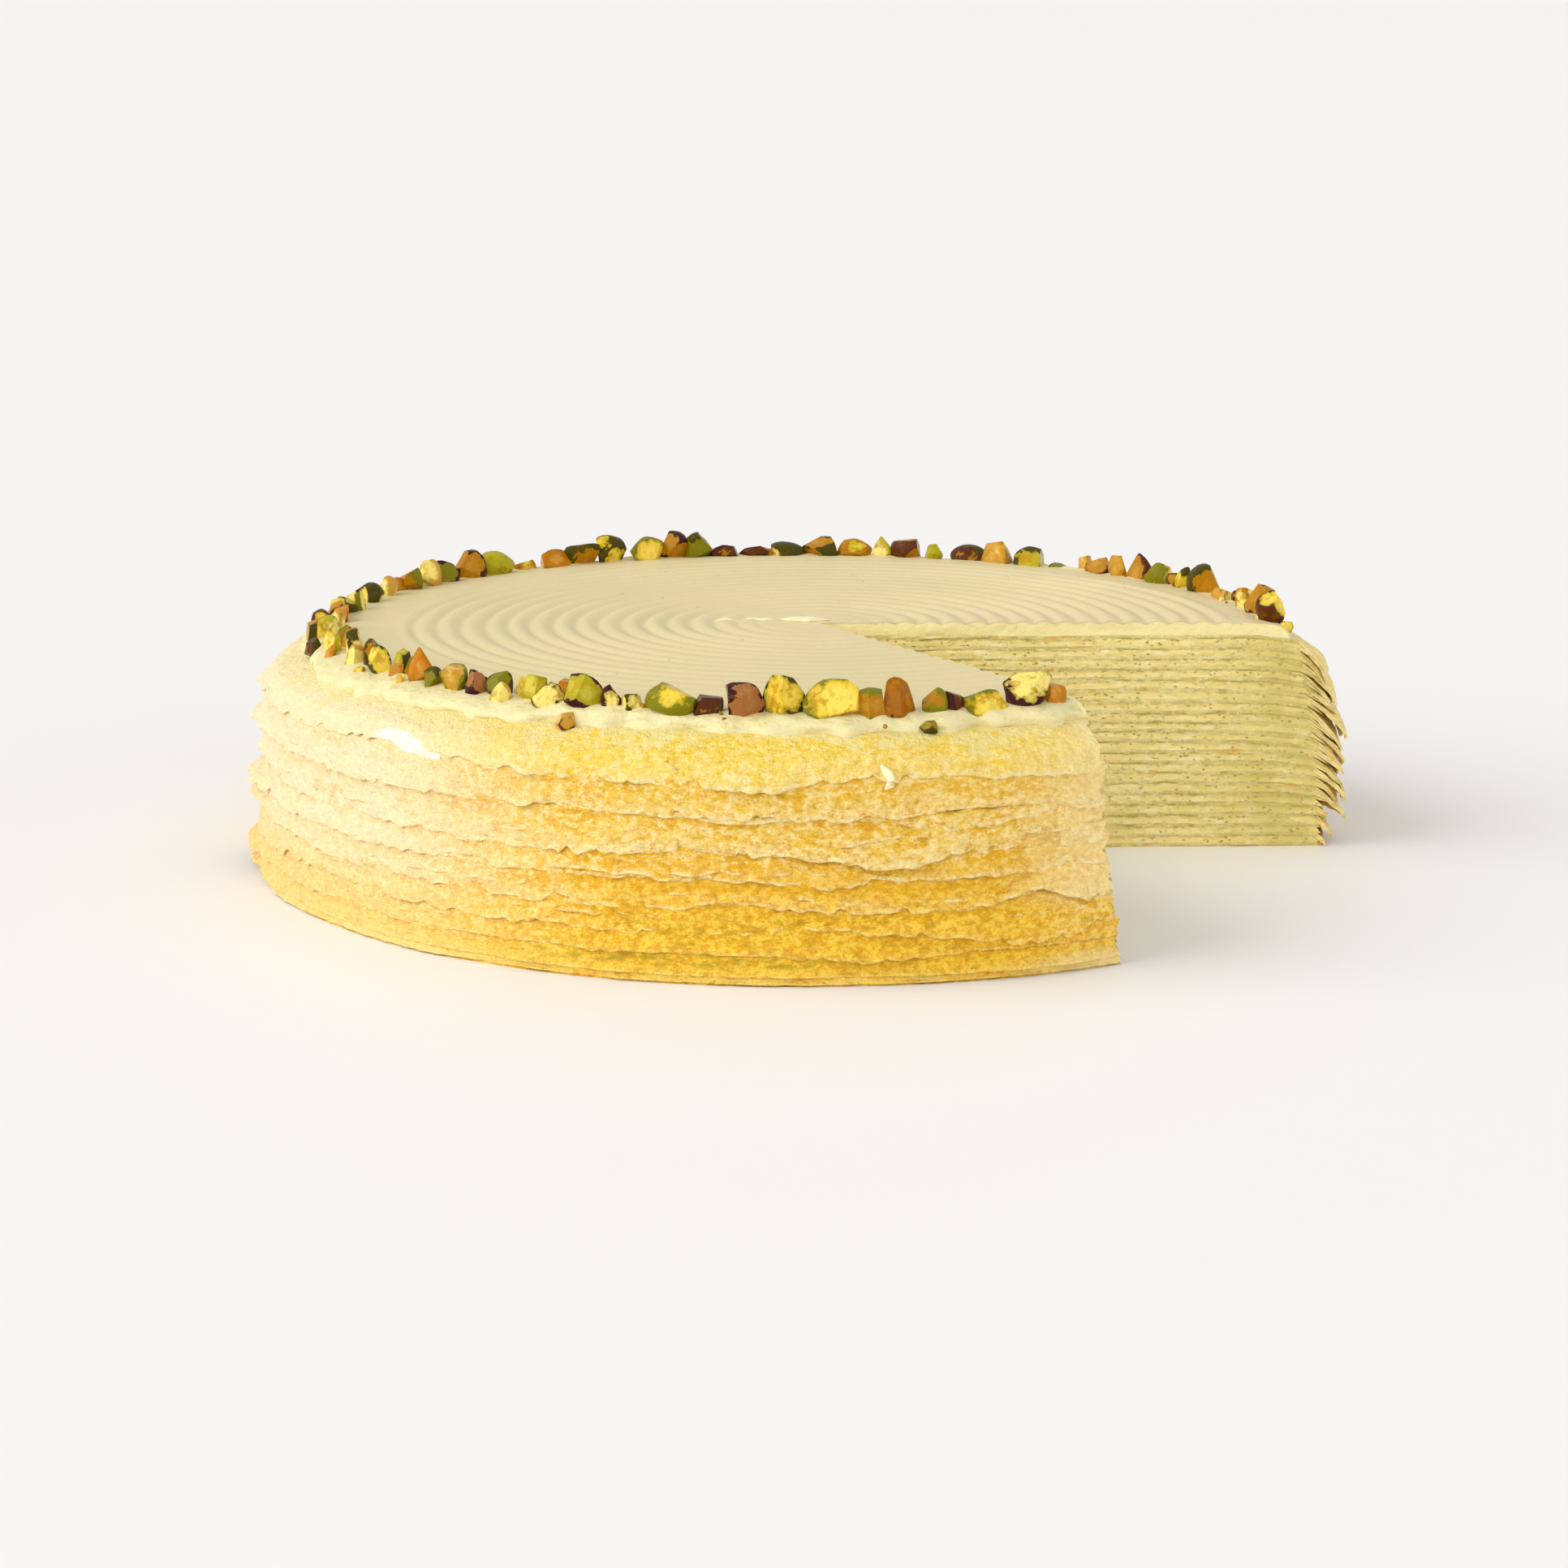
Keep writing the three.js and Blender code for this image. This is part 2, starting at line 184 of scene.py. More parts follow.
# Painted shadow line on the cut
CUT_SHADOW_LINE = (0.47, 0.40, 0.08)
CUT_SHADE = (0.58, 0.47, 0.10)
CREAM_GREEN = (0.83, 0.68, 0.23)
CREAM_YELLOW = (0.89, 0.73, 0.29)
CREAM_PALE = (0.96, 0.84, 0.47)
CREAM_SPECK = (0.27, 0.25, 0.04)
# Painted shadow under each crepe on the cut
CREAM_SEAM_SHADOW = (0.50, 0.43, 0.10)
CREAM_WHITE = (0.97, 0.94, 0.80)
CREAM_SMEARED = (0.88, 0.76, 0.32)
CREAM_CREVICE = (0.80, 0.72, 0.36)
CREAM_RIM = (0.80, 0.71, 0.38)
CREAM_STREAK = (0.60, 0.55, 0.17)
TOP_BEIGE = (0.76, 0.64, 0.35)
TOP_GREEN = (0.73, 0.63, 0.33)
TOP_CUT = (0.88, 0.77, 0.37)
NUT_CORE = (0.94, 0.74, 0.14)
NUT_GREEN = (0.36, 0.27, 0.004)
NUT_TOAST = (0.50, 0.22, 0.002)
NUT_BLOOM = (0.17, 0.09, 0.002)

# Each crepe's own colour, and how dry it is towards its lip
PLAIN_BODY = (0.90, 0.55, 0.05, 0.5)
CREPE_BODY = {
    20: (0.92, 0.65, 0.07, 0.55), 18: (0.88, 0.55, 0.05, 0.65), 16: (0.94, 0.63, 0.10, 0.75),
    15: (0.90, 0.57, 0.06, 0.95), 13: (0.93, 0.52, 0.02, 0.35), 10: (0.94, 0.47, 0.006, 0.85),
    8: (0.95, 0.51, 0.002, 0.25), 6: (0.92, 0.49, 0.004, 0.35), 3: (0.90, 0.56, 0.02, 0.35),
    1: (0.98, 0.72, 0.16, 0.6), 0: (0.96, 0.64, 0.08, 0.3),
}

# Colours of flesh and skin of the nuts
NUT_TONES = {
    "ivory": (0.90, 0.72, 0.20),
    "yellow": (0.80, 0.56, 0.05),
    "lime": (0.42, 0.36, 0.008),
    "amber": (0.42, 0.17, 0.001),
    "orange": (0.52, 0.16, 0.001),
    "tan": (0.58, 0.29, 0.04),
    "green": (0.20, 0.18, 0.003),
    "olive": (0.060, 0.050, 0.001),
    "brown": (0.090, 0.020, 0.001),
    "clay": (0.36, 0.13, 0.045),
    "rust": (0.34, 0.11, 0.003),
    "rose": (0.14, 0.035, 0.018),
    "maroon": (0.045, 0.008, 0.008),
}

# The ring of chopped nuts
NUT_RADIUS = 101
NUT_SEAT = 48.8
RIM_FALL = 0.35
NUT_SINK = 1.1
NUT_DEPTH = (2.4, 6.5)
NUT_LENGTHENED = 1.06
NUT_TILT = 0.5
NUT_TWIST = 0.7
NUT_FINENESS = 3
NUT_SHARP_DEG = 34
CRUMB_COUNT = 40
CRUMB_SIZE = (0.5, 1.3)
CRUMB_TONES = ["yellow", "ivory", "green", "amber", "olive"]

# The cuts of the knife: a direction (along the rim, inwards, up) and how far from the middle it passes
NUT_CHIPS = {"face": 4, "top": 4, "ends": 4, "chunk": 3, "round": 4, "slice": 2, "peak": 4, "cap": 2}
NUT_TAPER = {"peak": 0.62}
NUT_CUTS = {
    "face": [((0.1, -1, 0.3), 0.36), ((1, -0.2, 0.2), 0.6), ((-0.7, -0.6, 0.5), 0.55)],
    "top": [((0.15, -0.5, 1), 0.36), ((-1, -0.3, 0.1), 0.6), ((0.6, -0.8, 0.2), 0.55)],
    "ends": [((1, -0.3, 0.1), 0.5), ((-1, -0.4, 0.1), 0.54)],
    "chunk": [
        ((0.6, -1, 0.2), 0.4), ((-0.9, -0.6, 0.4), 0.42), ((0.2, -0.2, 1), 0.45), ((-0.2, 1, 0.1), 0.55),
    ],
    "round": [((0.2, 1, 0.1), 0.5), ((0.3, -1, 0.6), 0.7)],
    "slice": [((0.05, -1, 0.15), 0.3), ((0, 1, 0), 0.4), ((1, 0, 0.2), 0.75), ((-1, 0, 0.3), 0.75)],
    "peak": [((0.8, -0.6, 0.1), 0.56), ((-0.6, -0.9, 0.2), 0.62), ((0.1, 1, 0.2), 0.5)],
    "cap": [
        ((-0.35, -0.05, 1), 0.3), ((-0.8, -0.7, 0.5), 0.5), ((0.9, -0.5, -0.2), 0.7), ((0.1, -1, -0.3), 0.86),
    ],
}

# The pieces on the rim: azimuth in degrees, length along the rim, height above the cream and shift
# outwards, then the flesh, the skin and the kind of cut. The solids have 83 of these 95, three of them
# in slightly other sizes or places. The last twelve are only here and fill gaps between the others.
NUTS = [
    (3.6, 7, 6.8, 0.5, "yellow", "brown", "face"), (8.2, 7, 7.2, 0.5, "amber", "brown", "chunk"),
    (13, 5, 5.5, 0, "ivory", "amber", "chunk"), (17.5, 2.6, 3.4, 0.5, "maroon", "maroon", "round"),
    (20.5, 6.4, 3, 0, "ivory", "tan", "top"), (26, 8, 7, 0, "amber", "olive", "face"),
    (30, 6, 5.6, 0, "yellow", "olive", "peak"), (32.5, 3.4, 4, 0.5, "tan", "rose", "chunk"),
    (35.5, 6.5, 5.4, -0.5, "ivory", "green", "top"), (39.5, 7, 6.8, 1, "amber", "brown", "peak"),
    (42.5, 4.2, 5.4, -0.5, "tan", "amber", "chunk"), (46.5, 6.4, 4.4, 0, "amber", "brown", "top"),
    (49, 3.8, 4.6, 1, "tan", "amber", "chunk"), (53, 4.2, 1.8, 0, "green", "olive", "round"),
    (57.3, 7.6, 5.2, 0, "lime", "olive", "round"), (62, 7.6, 5.6, 0, "tan", "amber", "chunk"),
    (66.5, 8.4, 4.6, 0.5, "brown", "olive", "round"), (71.7, 5, 4, 0, "ivory", "lime", "face"),
    (75.3, 7.4, 5.2, 0, "amber", "brown", "ends"), (78.7, 4.6, 5.4, 0.5, "ivory", "lime", "peak"),
    (82.5, 7.8, 4.6, 0, "yellow", "amber", "face"), (87, 8.6, 5.2, 0, "amber", "olive", "ends"),
    (91.5, 8, 3.8, -0.5, "ivory", "olive", "face"), (96, 8, 3.2, 0, "amber", "brown", "top"),
    (100.3, 7, 3.3, 0, "brown", "maroon", "round"), (104, 7, 6.6, 0, "green", "olive", "round"),
    (107.5, 7.2, 7.4, 1, "amber", "maroon", "ends"), (111.5, 9.6, 6.2, -0.5, "yellow", "green", "round"),
    (117, 7.6, 7, 0, "yellow", "olive", "ends"), (121.3, 8.6, 6.4, 0, "amber", "olive", "top"),
    (125.5, 9.5, 4.7, 0, "orange", "amber", "round"), (130, 5, 3, 0, "yellow", "amber", "chunk"),
    (135, 9, 6, 0, "yellow", "lime", "face"), (139.5, 8, 7, 0, "amber", "maroon", "round"),
    (144.5, 7.5, 5.8, 0.5, "green", "maroon", "round"), (147.5, 6, 6.5, -0.5, "ivory", "tan", "face"),
    (151.5, 6.5, 5.5, 0, "amber", "green", "top"), (153.6, 5, 4.4, 2, "orange", "amber", "chunk"),
    (157, 5, 5, -0.5, "ivory", "tan", "face"), (161.5, 4, 5, 2.5, "orange", "brown", "chunk"),
    (162.5, 6, 5, -0.5, "yellow", "olive", "ends"), (166.5, 4, 4.4, 1.5, "yellow", "amber", "chunk"),
    (171, 5.4, 4.4, 0, "lime", "olive", "face"), (176, 4.5, 4.8, 0, "amber", "brown", "chunk"),
    (181, 5, 5, 2, "yellow", "rose", "ends"), (185, 4, 5.5, -2, "ivory", "tan", "slice"),
    (187, 5, 4.6, 3, "amber", "olive", "chunk"), (192, 4, 6, -0.5, "ivory", "lime", "slice"),
    (193, 4, 3, 4, "brown", "olive", "chunk"), (196.5, 3.5, 5, 1, "yellow", "amber", "chunk"),
    (199.5, 3, 4.6, 1, "yellow", "lime", "slice"), (202.5, 3, 4.6, -1, "ivory", "yellow", "chunk"),
    (205.5, 4, 7, -0.5, "ivory", "olive", "slice"), (209.5, 4.4, 6, -1, "amber", "olive", "ends"),
    (211, 3, 2.4, 3.4, "yellow", "amber", "chunk"), (213, 5, 6, 0.5, "yellow", "olive", "ends"),
    (214.8, 3.4, 5, -3, "lime", "olive", "chunk"), (216.8, 3, 3.2, 0.5, "orange", "amber", "chunk"),
    (219.5, 2.6, 2.8, 3, "ivory", "yellow", "chunk"), (220.6, 6.5, 7, -1, "orange", "amber", "peak"),
    (223.8, 4.4, 4, 0, "green", "olive", "round"), (227.3, 6, 5.4, 0, "tan", "green", "top"),
    (231, 4.6, 5, 0, "clay", "maroon", "ends"), (233.5, 5, 5, -1.5, "green", "olive", "round"),
    (235.2, 4, 4.3, 1.5, "ivory", "tan", "face"), (238.8, 5.5, 5.5, -1, "lime", "green", "face"),
    (241.2, 6.7, 4.5, 0.5, "ivory", "brown", "face"), (242.6, 4, 4.6, -2, "orange", "amber", "chunk"),
    (245.5, 7.8, 6.5, 0, "lime", "maroon", "ends"), (248.7, 4, 5, 0, "ivory", "maroon", "round"),
    (251, 4.6, 3.6, 0, "ivory", "olive", "ends"), (255.5, 10, 5.8, 0, "yellow", "green", "round"),
    (259.5, 5.8, 3.8, 0, "brown", "olive", "chunk"), (263.5, 7.3, 6.4, 0, "clay", "maroon", "ends"),
    (267.8, 8, 8.6, 0, "yellow", "olive", "peak"), (273, 10.6, 7.3, 0, "yellow", "green", "face"),
    (277.2, 5.6, 5.5, 0, "amber", "green", "ends"), (280.2, 6.4, 7.2, 0, "rust", "rust", "peak"),
    (284.3, 4.8, 5, 0, "amber", "green", "round"), (286.3, 5, 4, -0.5, "rose", "maroon", "ends"),
    (290, 8.3, 4, 0, "yellow", "green", "slice"), (295, 9.5, 7, 0, "ivory", "maroon", "cap"),
    (298.2, 5.4, 4.6, 0, "orange", "amber", "chunk"),
    (168.8, 4, 5, -1.5, "ivory", "green", "chunk"), (173.6, 4.4, 5, 1, "yellow", "olive", "chunk"),
    (178.6, 4, 4.4, -1.5, "orange", "amber", "chunk"), (189.6, 3.6, 6, 0.5, "yellow", "lime", "slice"),
    (194.8, 3.4, 4.8, -2, "green", "olive", "chunk"), (197.8, 3.6, 5.2, -2.5, "amber", "brown", "chunk"),
    (201, 3, 3.6, 3, "orange", "amber", "chunk"), (207.6, 3.6, 5, 1.5, "ivory", "tan", "slice"),
    (217.9, 4, 4.4, -2.5, "green", "olive", "chunk"), (229.2, 4, 4, -2, "green", "olive", "chunk"),
    (236.9, 4, 4.4, -2, "yellow", "green", "chunk"), (243.6, 4.6, 5, -2.5, "green", "olive", "chunk"),
]

# Pieces that have fallen over the rim: azimuth in degrees, radius, height and size, then flesh and skin.
# The solids have the first two, smaller.
FALLEN_NUTS = [
    (244.8, 106.6, 46.9, 4.6, "tan", "rose"), (282.8, 106.2, 47.3, 3.4, "green", "olive"),
    (1.2, 104.5, 48.2, 3, "yellow", "amber"), (257, 114.6, 42.6, 1.4, "yellow", "yellow"),
]

# The studio: name, strength, angle in degrees, colour and direction of each light, then the camera
WORLD_COLOUR = (1.0, 0.995, 0.99, 1)
WORLD_STRENGTH = 0.6
SUNS = [
    ("window", 2.1, 60, (1.0, 0.985, 0.96), (-0.9, -0.22, 0.55)),
    ("reflector", 0.98, 80, (1.0, 0.99, 0.975), (0.12, -1, 0.28)),
    ("wall", 0.7, 50, (1.0, 0.99, 0.96), (1, -0.3, 0.05)),
]
FLOOR_COLOUR = (0.9, 0.892, 0.885)
FLOOR_REACH = 70 / MM
CAMERA_PLACE = (-3.13, -806.37, 185.03)
CAMERA_DOWN_DEG = 11.95
CAMERA_TURN_DEG = 0.05
LENS = 87.32
SENSOR_WIDTH = 36
VIEW_DISTANCE = 200 / MM


# --- curves, noise and places ---


def ease(value):
    """A smooth step: 0 below 0 and 1 above 1."""
    value = np.clip(value, 0, 1)
    return value * value * (3 - 2 * value)


def hill(value, middle, width):
    """A rounded hill of height 1."""
    return np.exp(-(((value - middle) / width) ** 2))


def read_profile(profile, place):
    """The value at a place, from a list of places and their values."""
    places, values = np.array(profile).T
    return np.interp(place, places, values)


def draw(item, channel, seed=5):
    """A repeatable draw between 0 and 1 for two whole numbers."""
    wave = math.sin(item * 12.9898 + channel * 78.233 + seed) * 43758.5453
    return wave - math.floor(wave)


def cell_values(ix, iy, seed):
    """One repeatable value between -1 and 1 for each cell of a grid."""
    mixed = (ix * 374761393 + iy * 668265263 + seed * 97463477) & 0xFFFFFFFF
    mixed = ((mixed ^ (mixed >> 13)) * 1274126177) & 0xFFFFFFFF
    return ((mixed ^ (mixed >> 16)) & 0xFFFF) / 32767.5 - 1


def noise(along, across, size_along, size_across, seed):
    """Smooth noise from -1 to 1, with features of these sizes in millimetres."""
    x, y = np.broadcast_arrays(np.asarray(along) / size_along, np.asarray(across) / size_across)
    ix = np.floor(x).astype(np.int64)
    iy = np.floor(y).astype(np.int64)
    fx = ease(x - ix)
    fy = ease(y - iy)
    low = cell_values(ix, iy, seed) * (1 - fx) + cell_values(ix + 1, iy, seed) * fx
    high = cell_values(ix, iy + 1, seed) * (1 - fx) + cell_values(ix + 1, iy + 1, seed) * fx
    return low * (1 - fy) + high * fy


def waves(along, across, seed, *parts):
    """Noises added up, each given by its height and its two sizes. Their seeds follow one another."""
    return sum(part[0] * noise(along, across, part[1], part[2], seed + n) for n, part in enumerate(parts))


def round_axis(radius, azimuth, height):
    """Points round the cake's axis."""
    return np.stack(np.broadcast_arrays(radius * np.cos(azimuth), radius * np.sin(azimuth), height), axis=-1)


def points_at(reach, azimuth, height):
    """Points round the knife's point, where the two cut faces meet."""
    return round_axis(reach, azimuth, height) + np.array([*CUT_POINT, 0])


def reach_of(points):
    """How far points are from the knife's point, seen from above."""
    return np.hypot(points[..., 0] - CUT_POINT[0], points[..., 1] - CUT_POINT[1])


def reach_to(radius, azimuth):
    """How far it is from the knife's point, along an azimuth, to a circle round the cake's axis."""
    along = CUT_POINT[0] * np.cos(azimuth) + CUT_POINT[1] * np.sin(azimuth)
    return np.sqrt(radius**2 - CUT_POINT @ CUT_POINT + along**2) - along


def sideways(azimuth, amount):
    """Steps at right angles to an azimuth, towards larger azimuths."""
    return np.stack([-np.sin(azimuth) * amount, np.cos(azimuth) * amount, 0 * azimuth], axis=-1)


# --- level surfaces ---


def core_radius(level):
    return CORE_RADIUS - CORE_TAPER * (level / TOP_HEIGHT) ** TAPER_POWER


def freedom(level):
    return 1 - math.exp(-level / PRESSED_HEIGHT)


def level_height(radius, level):
    core = core_radius(level)
    bent = np.clip((radius - BEND_RADIUS) / (core - BEND_RADIUS), 0, 1)
    eased = 1 - TOP_EASING * ease((level - EASING_LEVEL) / (TOP_CREPE_LEVEL - EASING_LEVEL))
    return level - BEND_DROP * eased * bent**BEND_POWER * freedom(level)


def azimuth_at(share, level):
    """The azimuth of a share of the way round, from the far cut face to the near one."""
    lean = CUT_LEAN_DEG * level / TOP_HEIGHT
    return np.radians(FAR_CUT_DEG + lean + (NEAR_CUT_DEG - FAR_CUT_DEG) * share)


def ripple(share, reach, level):
    """How much a level surface waves up and down inside the cake."""
    free = min(level / 5, 1, max((TOP_HEIGHT - level) / 2.5, 0))
    return free * waves(300 * share + reach, level, 11, (0.34, 24, 5), (0.2, 7, 3.5), (0.08, 2.6, 1.7))


# --- skirts: the free edges of the crepes ---


class Skirt:
    """The outside of one crepe's free edge, for each place along the side of the cake."""

    def __init__(self, index, share):
        self.index = index
        self.share = share
        self.level = index * LAYER_PITCH + CREPE_THICKNESS
        self.azimuth = azimuth_at(share, self.level)
        self.along = EDGE_RADIUS * self.azimuth
        self.core = core_radius(self.level)
        self.start = level_height(self.core, self.level)
        self.loose = 1 - ease(share * SIDE_LENGTH / LOOSE_LENGTH)
        self.free_radius = self.edge_radius()
        lower = [other for other in LONG_CREPES if other < index]
        self.below = Skirt(lower[-1], share) if lower else None
        self.tip_height = self.lip_height()

    def wander(self, size, seed):
        """Noise along the lip."""
        return noise(self.along, 0, size, 1, seed)

    def local(self, table):
        """What a table of places adds along the lip."""
        place = np.degrees(self.azimuth)
        rows = [row for row in table if row[0] == self.index]
        return sum(amount * hill(place, middle, width) for _, middle, width, amount in rows)

    def edge_radius(self):
        """How far out the free edge reaches, a little inside that of the solid."""
        bulge = EDGE_BULGE * math.sin(math.pi * self.index / (CREPE_COUNT - 1))
        setback = 0 if self.index in LONG_CREPES else SHORT_SETBACK * (1 - 0.7 * self.loose)
        least = core_radius(self.index * LAYER_PITCH) + LEAST_OVERHANG
        starts = [2 * math.pi * draw(self.index, n) for n in range(len(WAVE_COUNTS))]
        turns = [count * self.azimuth + start for count, start in zip(WAVE_COUNTS, starts)]
        middle = np.maximum(EDGE_RADIUS + bulge - setback, least)
        return middle + WAVE_HEIGHT * sum(np.sin(turn) for turn in turns) - EDGE_INSET

    def lip_height(self):
        hanging = self.start - SKIRT_SLOPE * (self.free_radius - self.core) * freedom(self.level)
        laid = LIP_HEIGHTS.get(self.index, hanging)
        lip = laid + (hanging - laid) * self.loose + self.lip_rise()
        if self.below is not None and self.index in LONG_CREPES:
            lip = np.minimum(lip, self.below.start - min(LIP_COVER, 0.35 * self.below.start))
        return np.clip(lip, FLOOR_GAP + LIP_THICKNESS, self.start - 0.02)

    def lip_rise(self):
        """How the lip wanders above and below that of the solid: long waves, tears and lace."""
        seed = 100 + self.index
        rise = TEAR_HEIGHT * np.clip(self.wander(3.1, seed + 120) - 0.45, 0, 1)
        for n, (height, loose_height, length) in enumerate(LIP_WAVES):
            rise += (height + loose_height * self.loose) * self.wander(length, seed + 30 * n)
        return (rise - self.local(DROOPS)) * min(self.level / 8, 1)

    def shown(self, height):
        """How far down the part is that shows below the next lip above: 0 there and 1 at its own lip."""
        upper = [index for index in LONG_CREPES if index > self.index]
        above = Skirt(upper[0], self.share).tip_height if upper else TOP_CREPE_LEVEL - 0.6
        return np.clip((above - height) / np.maximum(above - self.tip_height, 0.5), 0, 1)

    def share_fallen(self, height):
        return np.clip((self.start - height) / (self.start - self.tip_height), 0, 1)

    def bend(self):
        """Near the far cut face, where nothing holds them, the skirts hang straighter."""
        usual = TOP_SKIRT_BEND if self.index == CREPE_COUNT - 1 else PLAIN_BEND
        return usual + (LOOSE_BEND - usual) * self.loose**0.5

    def radius_at(self, height):
        """Heights come as one row for each step down the skirt."""
        fallen = self.share_fallen(height)
        laid = read_profile(SIDE_PROFILE, height) + 0 * self.along
        if self.index not in LONG_CREPES:
            laid = np.minimum(laid - 1, self.free_radius)
        outside = laid + (self.free_radius - laid) * self.loose
        radius = self.core + (outside - self.core) * (1 - (1 - fallen) ** self.bend())
        if self.below is not None:
            on_lower = self.below.radius_at(height) + SKIRT_GAP * ease(3 * fallen)
            radius = np.maximum(radius, on_lower * (height < self.below.start))
        return radius

    def uneven_radius(self, height):
        """With the bulges of the whole side, and small ones of this skirt."""
        seed = 40 + self.index
        relief = waves(self.along, height, 7, (0.45, 24, 9), (0.16, 9, 3.4))
        small = waves(self.along, height, seed, (0.2, 5.5, 2.4), (0.3, 1.9, 1.4)) * ease(height / 10)
        return self.radius_at(height) + (relief + small) * ease(self.share_fallen(height) * 2.2)

    def dressed_radius(self, height):
        """With the lip's flare too."""
        seed = 200 + self.index
        ragged = 1 + 0.35 * self.wander(4.3, seed + 60) + 0.25 * self.wander(1.3, seed + 90)
        flare = 0.05 + 0.42 * self.wander(11, seed) + 0.22 * self.wander(2.1, seed + 30)
        flare = flare + ragged * self.local(FLARES)
        flaring = ease((self.share_fallen(height) - 0.6) / 0.4) * min(self.level / 3.2, 1)
        return self.uneven_radius(height) + flare * flaring

    def rows(self, steps):
        """Steps down the skirt, then the radius and height at each of its inside and of its outside."""
        fallen = np.linspace(0, 1, steps + 1)[1:, None]
        height = self.start + (self.tip_height - self.start) * fallen
        radius = np.minimum(self.dressed_radius(height), SIDE_LIMIT)
        core_row = np.full((1, self.share.size), self.core)
        slope_r = np.gradient(np.vstack([core_row, radius]), axis=0)[1:]
        slope_z = np.gradient(np.vstack([core_row * 0 + self.start, height]), axis=0)[1:]
        thinned = ease((fallen - 0.5 * self.loose) * 1.6)
        thickness = CREPE_THICKNESS + (LIP_THICKNESS - CREPE_THICKNESS) * thinned
        inwards = thickness / (np.hypot(slope_r, slope_z) + 1e-9)
        inner_height = np.maximum(height - inwards * slope_r, FLOOR_GAP * min(self.index, 1))
        return fallen, (radius + inwards * slope_z, inner_height), (radius, height)


# --- closed layers ---


class Shell:
    """Collects the points and triangles of one closed mesh, with a tag for each point."""

    def __init__(self):
        self.points = []
        self.faces = []
        self.tags = []
        self.count = 0

    def add(self, points, tag=0.0):
        """Adds an array of points and gives back their numbers in the same layout."""
        points = np.asarray(points, float)
        layout = points.shape[:-1]
        number = int(np.prod(layout))
        self.points.append(points.reshape(-1, 3))
        self.tags.append(np.broadcast_to(tag, layout).reshape(-1).astype(float))
        ids = np.arange(self.count, self.count + number).reshape(layout)
        self.count += number
        return ids

    def add_faces(self, a, b, c, turned=False):
        corners = [a, c, b] if turned else [a, b, c]
        self.faces.append(np.stack(np.broadcast_arrays(*[np.ravel(corner) for corner in corners]), axis=-1))

    def add_grid(self, ids, turned=False):
        """Two triangles for each cell: the first axis runs round the cake, the second outwards or down."""
        a, b = ids[:-1, :-1], ids[:-1, 1:]
        d, c = ids[1:, :-1], ids[1:, 1:]
        self.add_faces(a, b, c, turned)
        self.add_faces(a, c, d, turned)

    def arrays(self):
        return np.vstack(self.points), np.vstack(self.faces), np.concatenate(self.tags)


def add_fan(shell, point, walls, ring, turned):
    """A flat sheet from the knife's point to a ring, with finely divided sides along both cut faces."""
    first = FAN_COLUMNS
    last = ring.size - 1 - FAN_COLUMNS
    far = np.concatenate([[point], walls[0], [ring[0]]])
    near = np.concatenate([[point], walls[1], [ring[-1]]])
    shell.add_faces(point, ring[first:last], ring[first + 1 : last + 1], turned)
    shell.add_faces(far[:-1], far[1:], ring[first], turned)
    shell.add_faces(near[1:], near[:-1], ring[last], turned)
    shell.add_faces(ring[: first - 1], ring[1:first], ring[first], turned)
    shell.add_faces(ring[last], ring[last + 1 : -1], ring[last + 2 :], turned)


def cut_wave(side, reach, height):
    """How far a cut face stands out from its plane: the knife's drag, the same for all layers."""
    return waves(reach, height, 300 + 50 * side, (0.3, 27, 12), (0.14, 8, 3.1)) * ease(reach / 6)


def pushed_out(points, side, amount):
    """Moves points of a cut face out of the cake. Sides are 0 for the far face and 1 for the near one."""
    return points + sideways(azimuth_at(float(side), points[..., 2]), (2 * side - 1) * amount)


def wall_reaches():
    return np.arange(WALL_STEP, reach_to(CAP_RADIUS, 0.0) - WALL_STEP / 2, WALL_STEP)


def layer_shell(sheets, lip, wall_rows, wall_relief):
    """One layer. Each of its two sheets, lower then upper, has a point, two wall lines and a rim grid.

    The tag is 2 at the lower edge of a cut face and 3 at the upper one."""
    shell = Shell()
    ids = []
    for number, sheet in enumerate(sheets):
        lower = number == 0
        point = shell.add(sheet["point"][None], 2.0 + number)[0]
        walls = [shell.add(line, 2.0 + number) for line in sheet["walls"]]
        rim = shell.add(sheet["rim"], sheet["tags"])
        if "cap" in sheet:
            cap = shell.add(sheet["cap"])
            walls = [cap[0], cap[-1]]
            shell.add_faces(point, cap[:-1, 0], cap[1:, 0], lower)
            shell.add_grid(np.hstack([cap, rim[:, :1]]), lower)
        else:
            add_fan(shell, point, walls, rim[:, 0], lower)
        shell.add_grid(rim, lower)
        ids.append({"point": point, "walls": walls, "rim": rim})
    edge = shell.add(lip, 1.0)
    shell.add_grid(np.stack([ids[1]["rim"][:, -1], edge, ids[0]["rim"][:, -1]], axis=1))
    add_cut_faces(shell, ids, edge, wall_rows, wall_relief)
    return shell


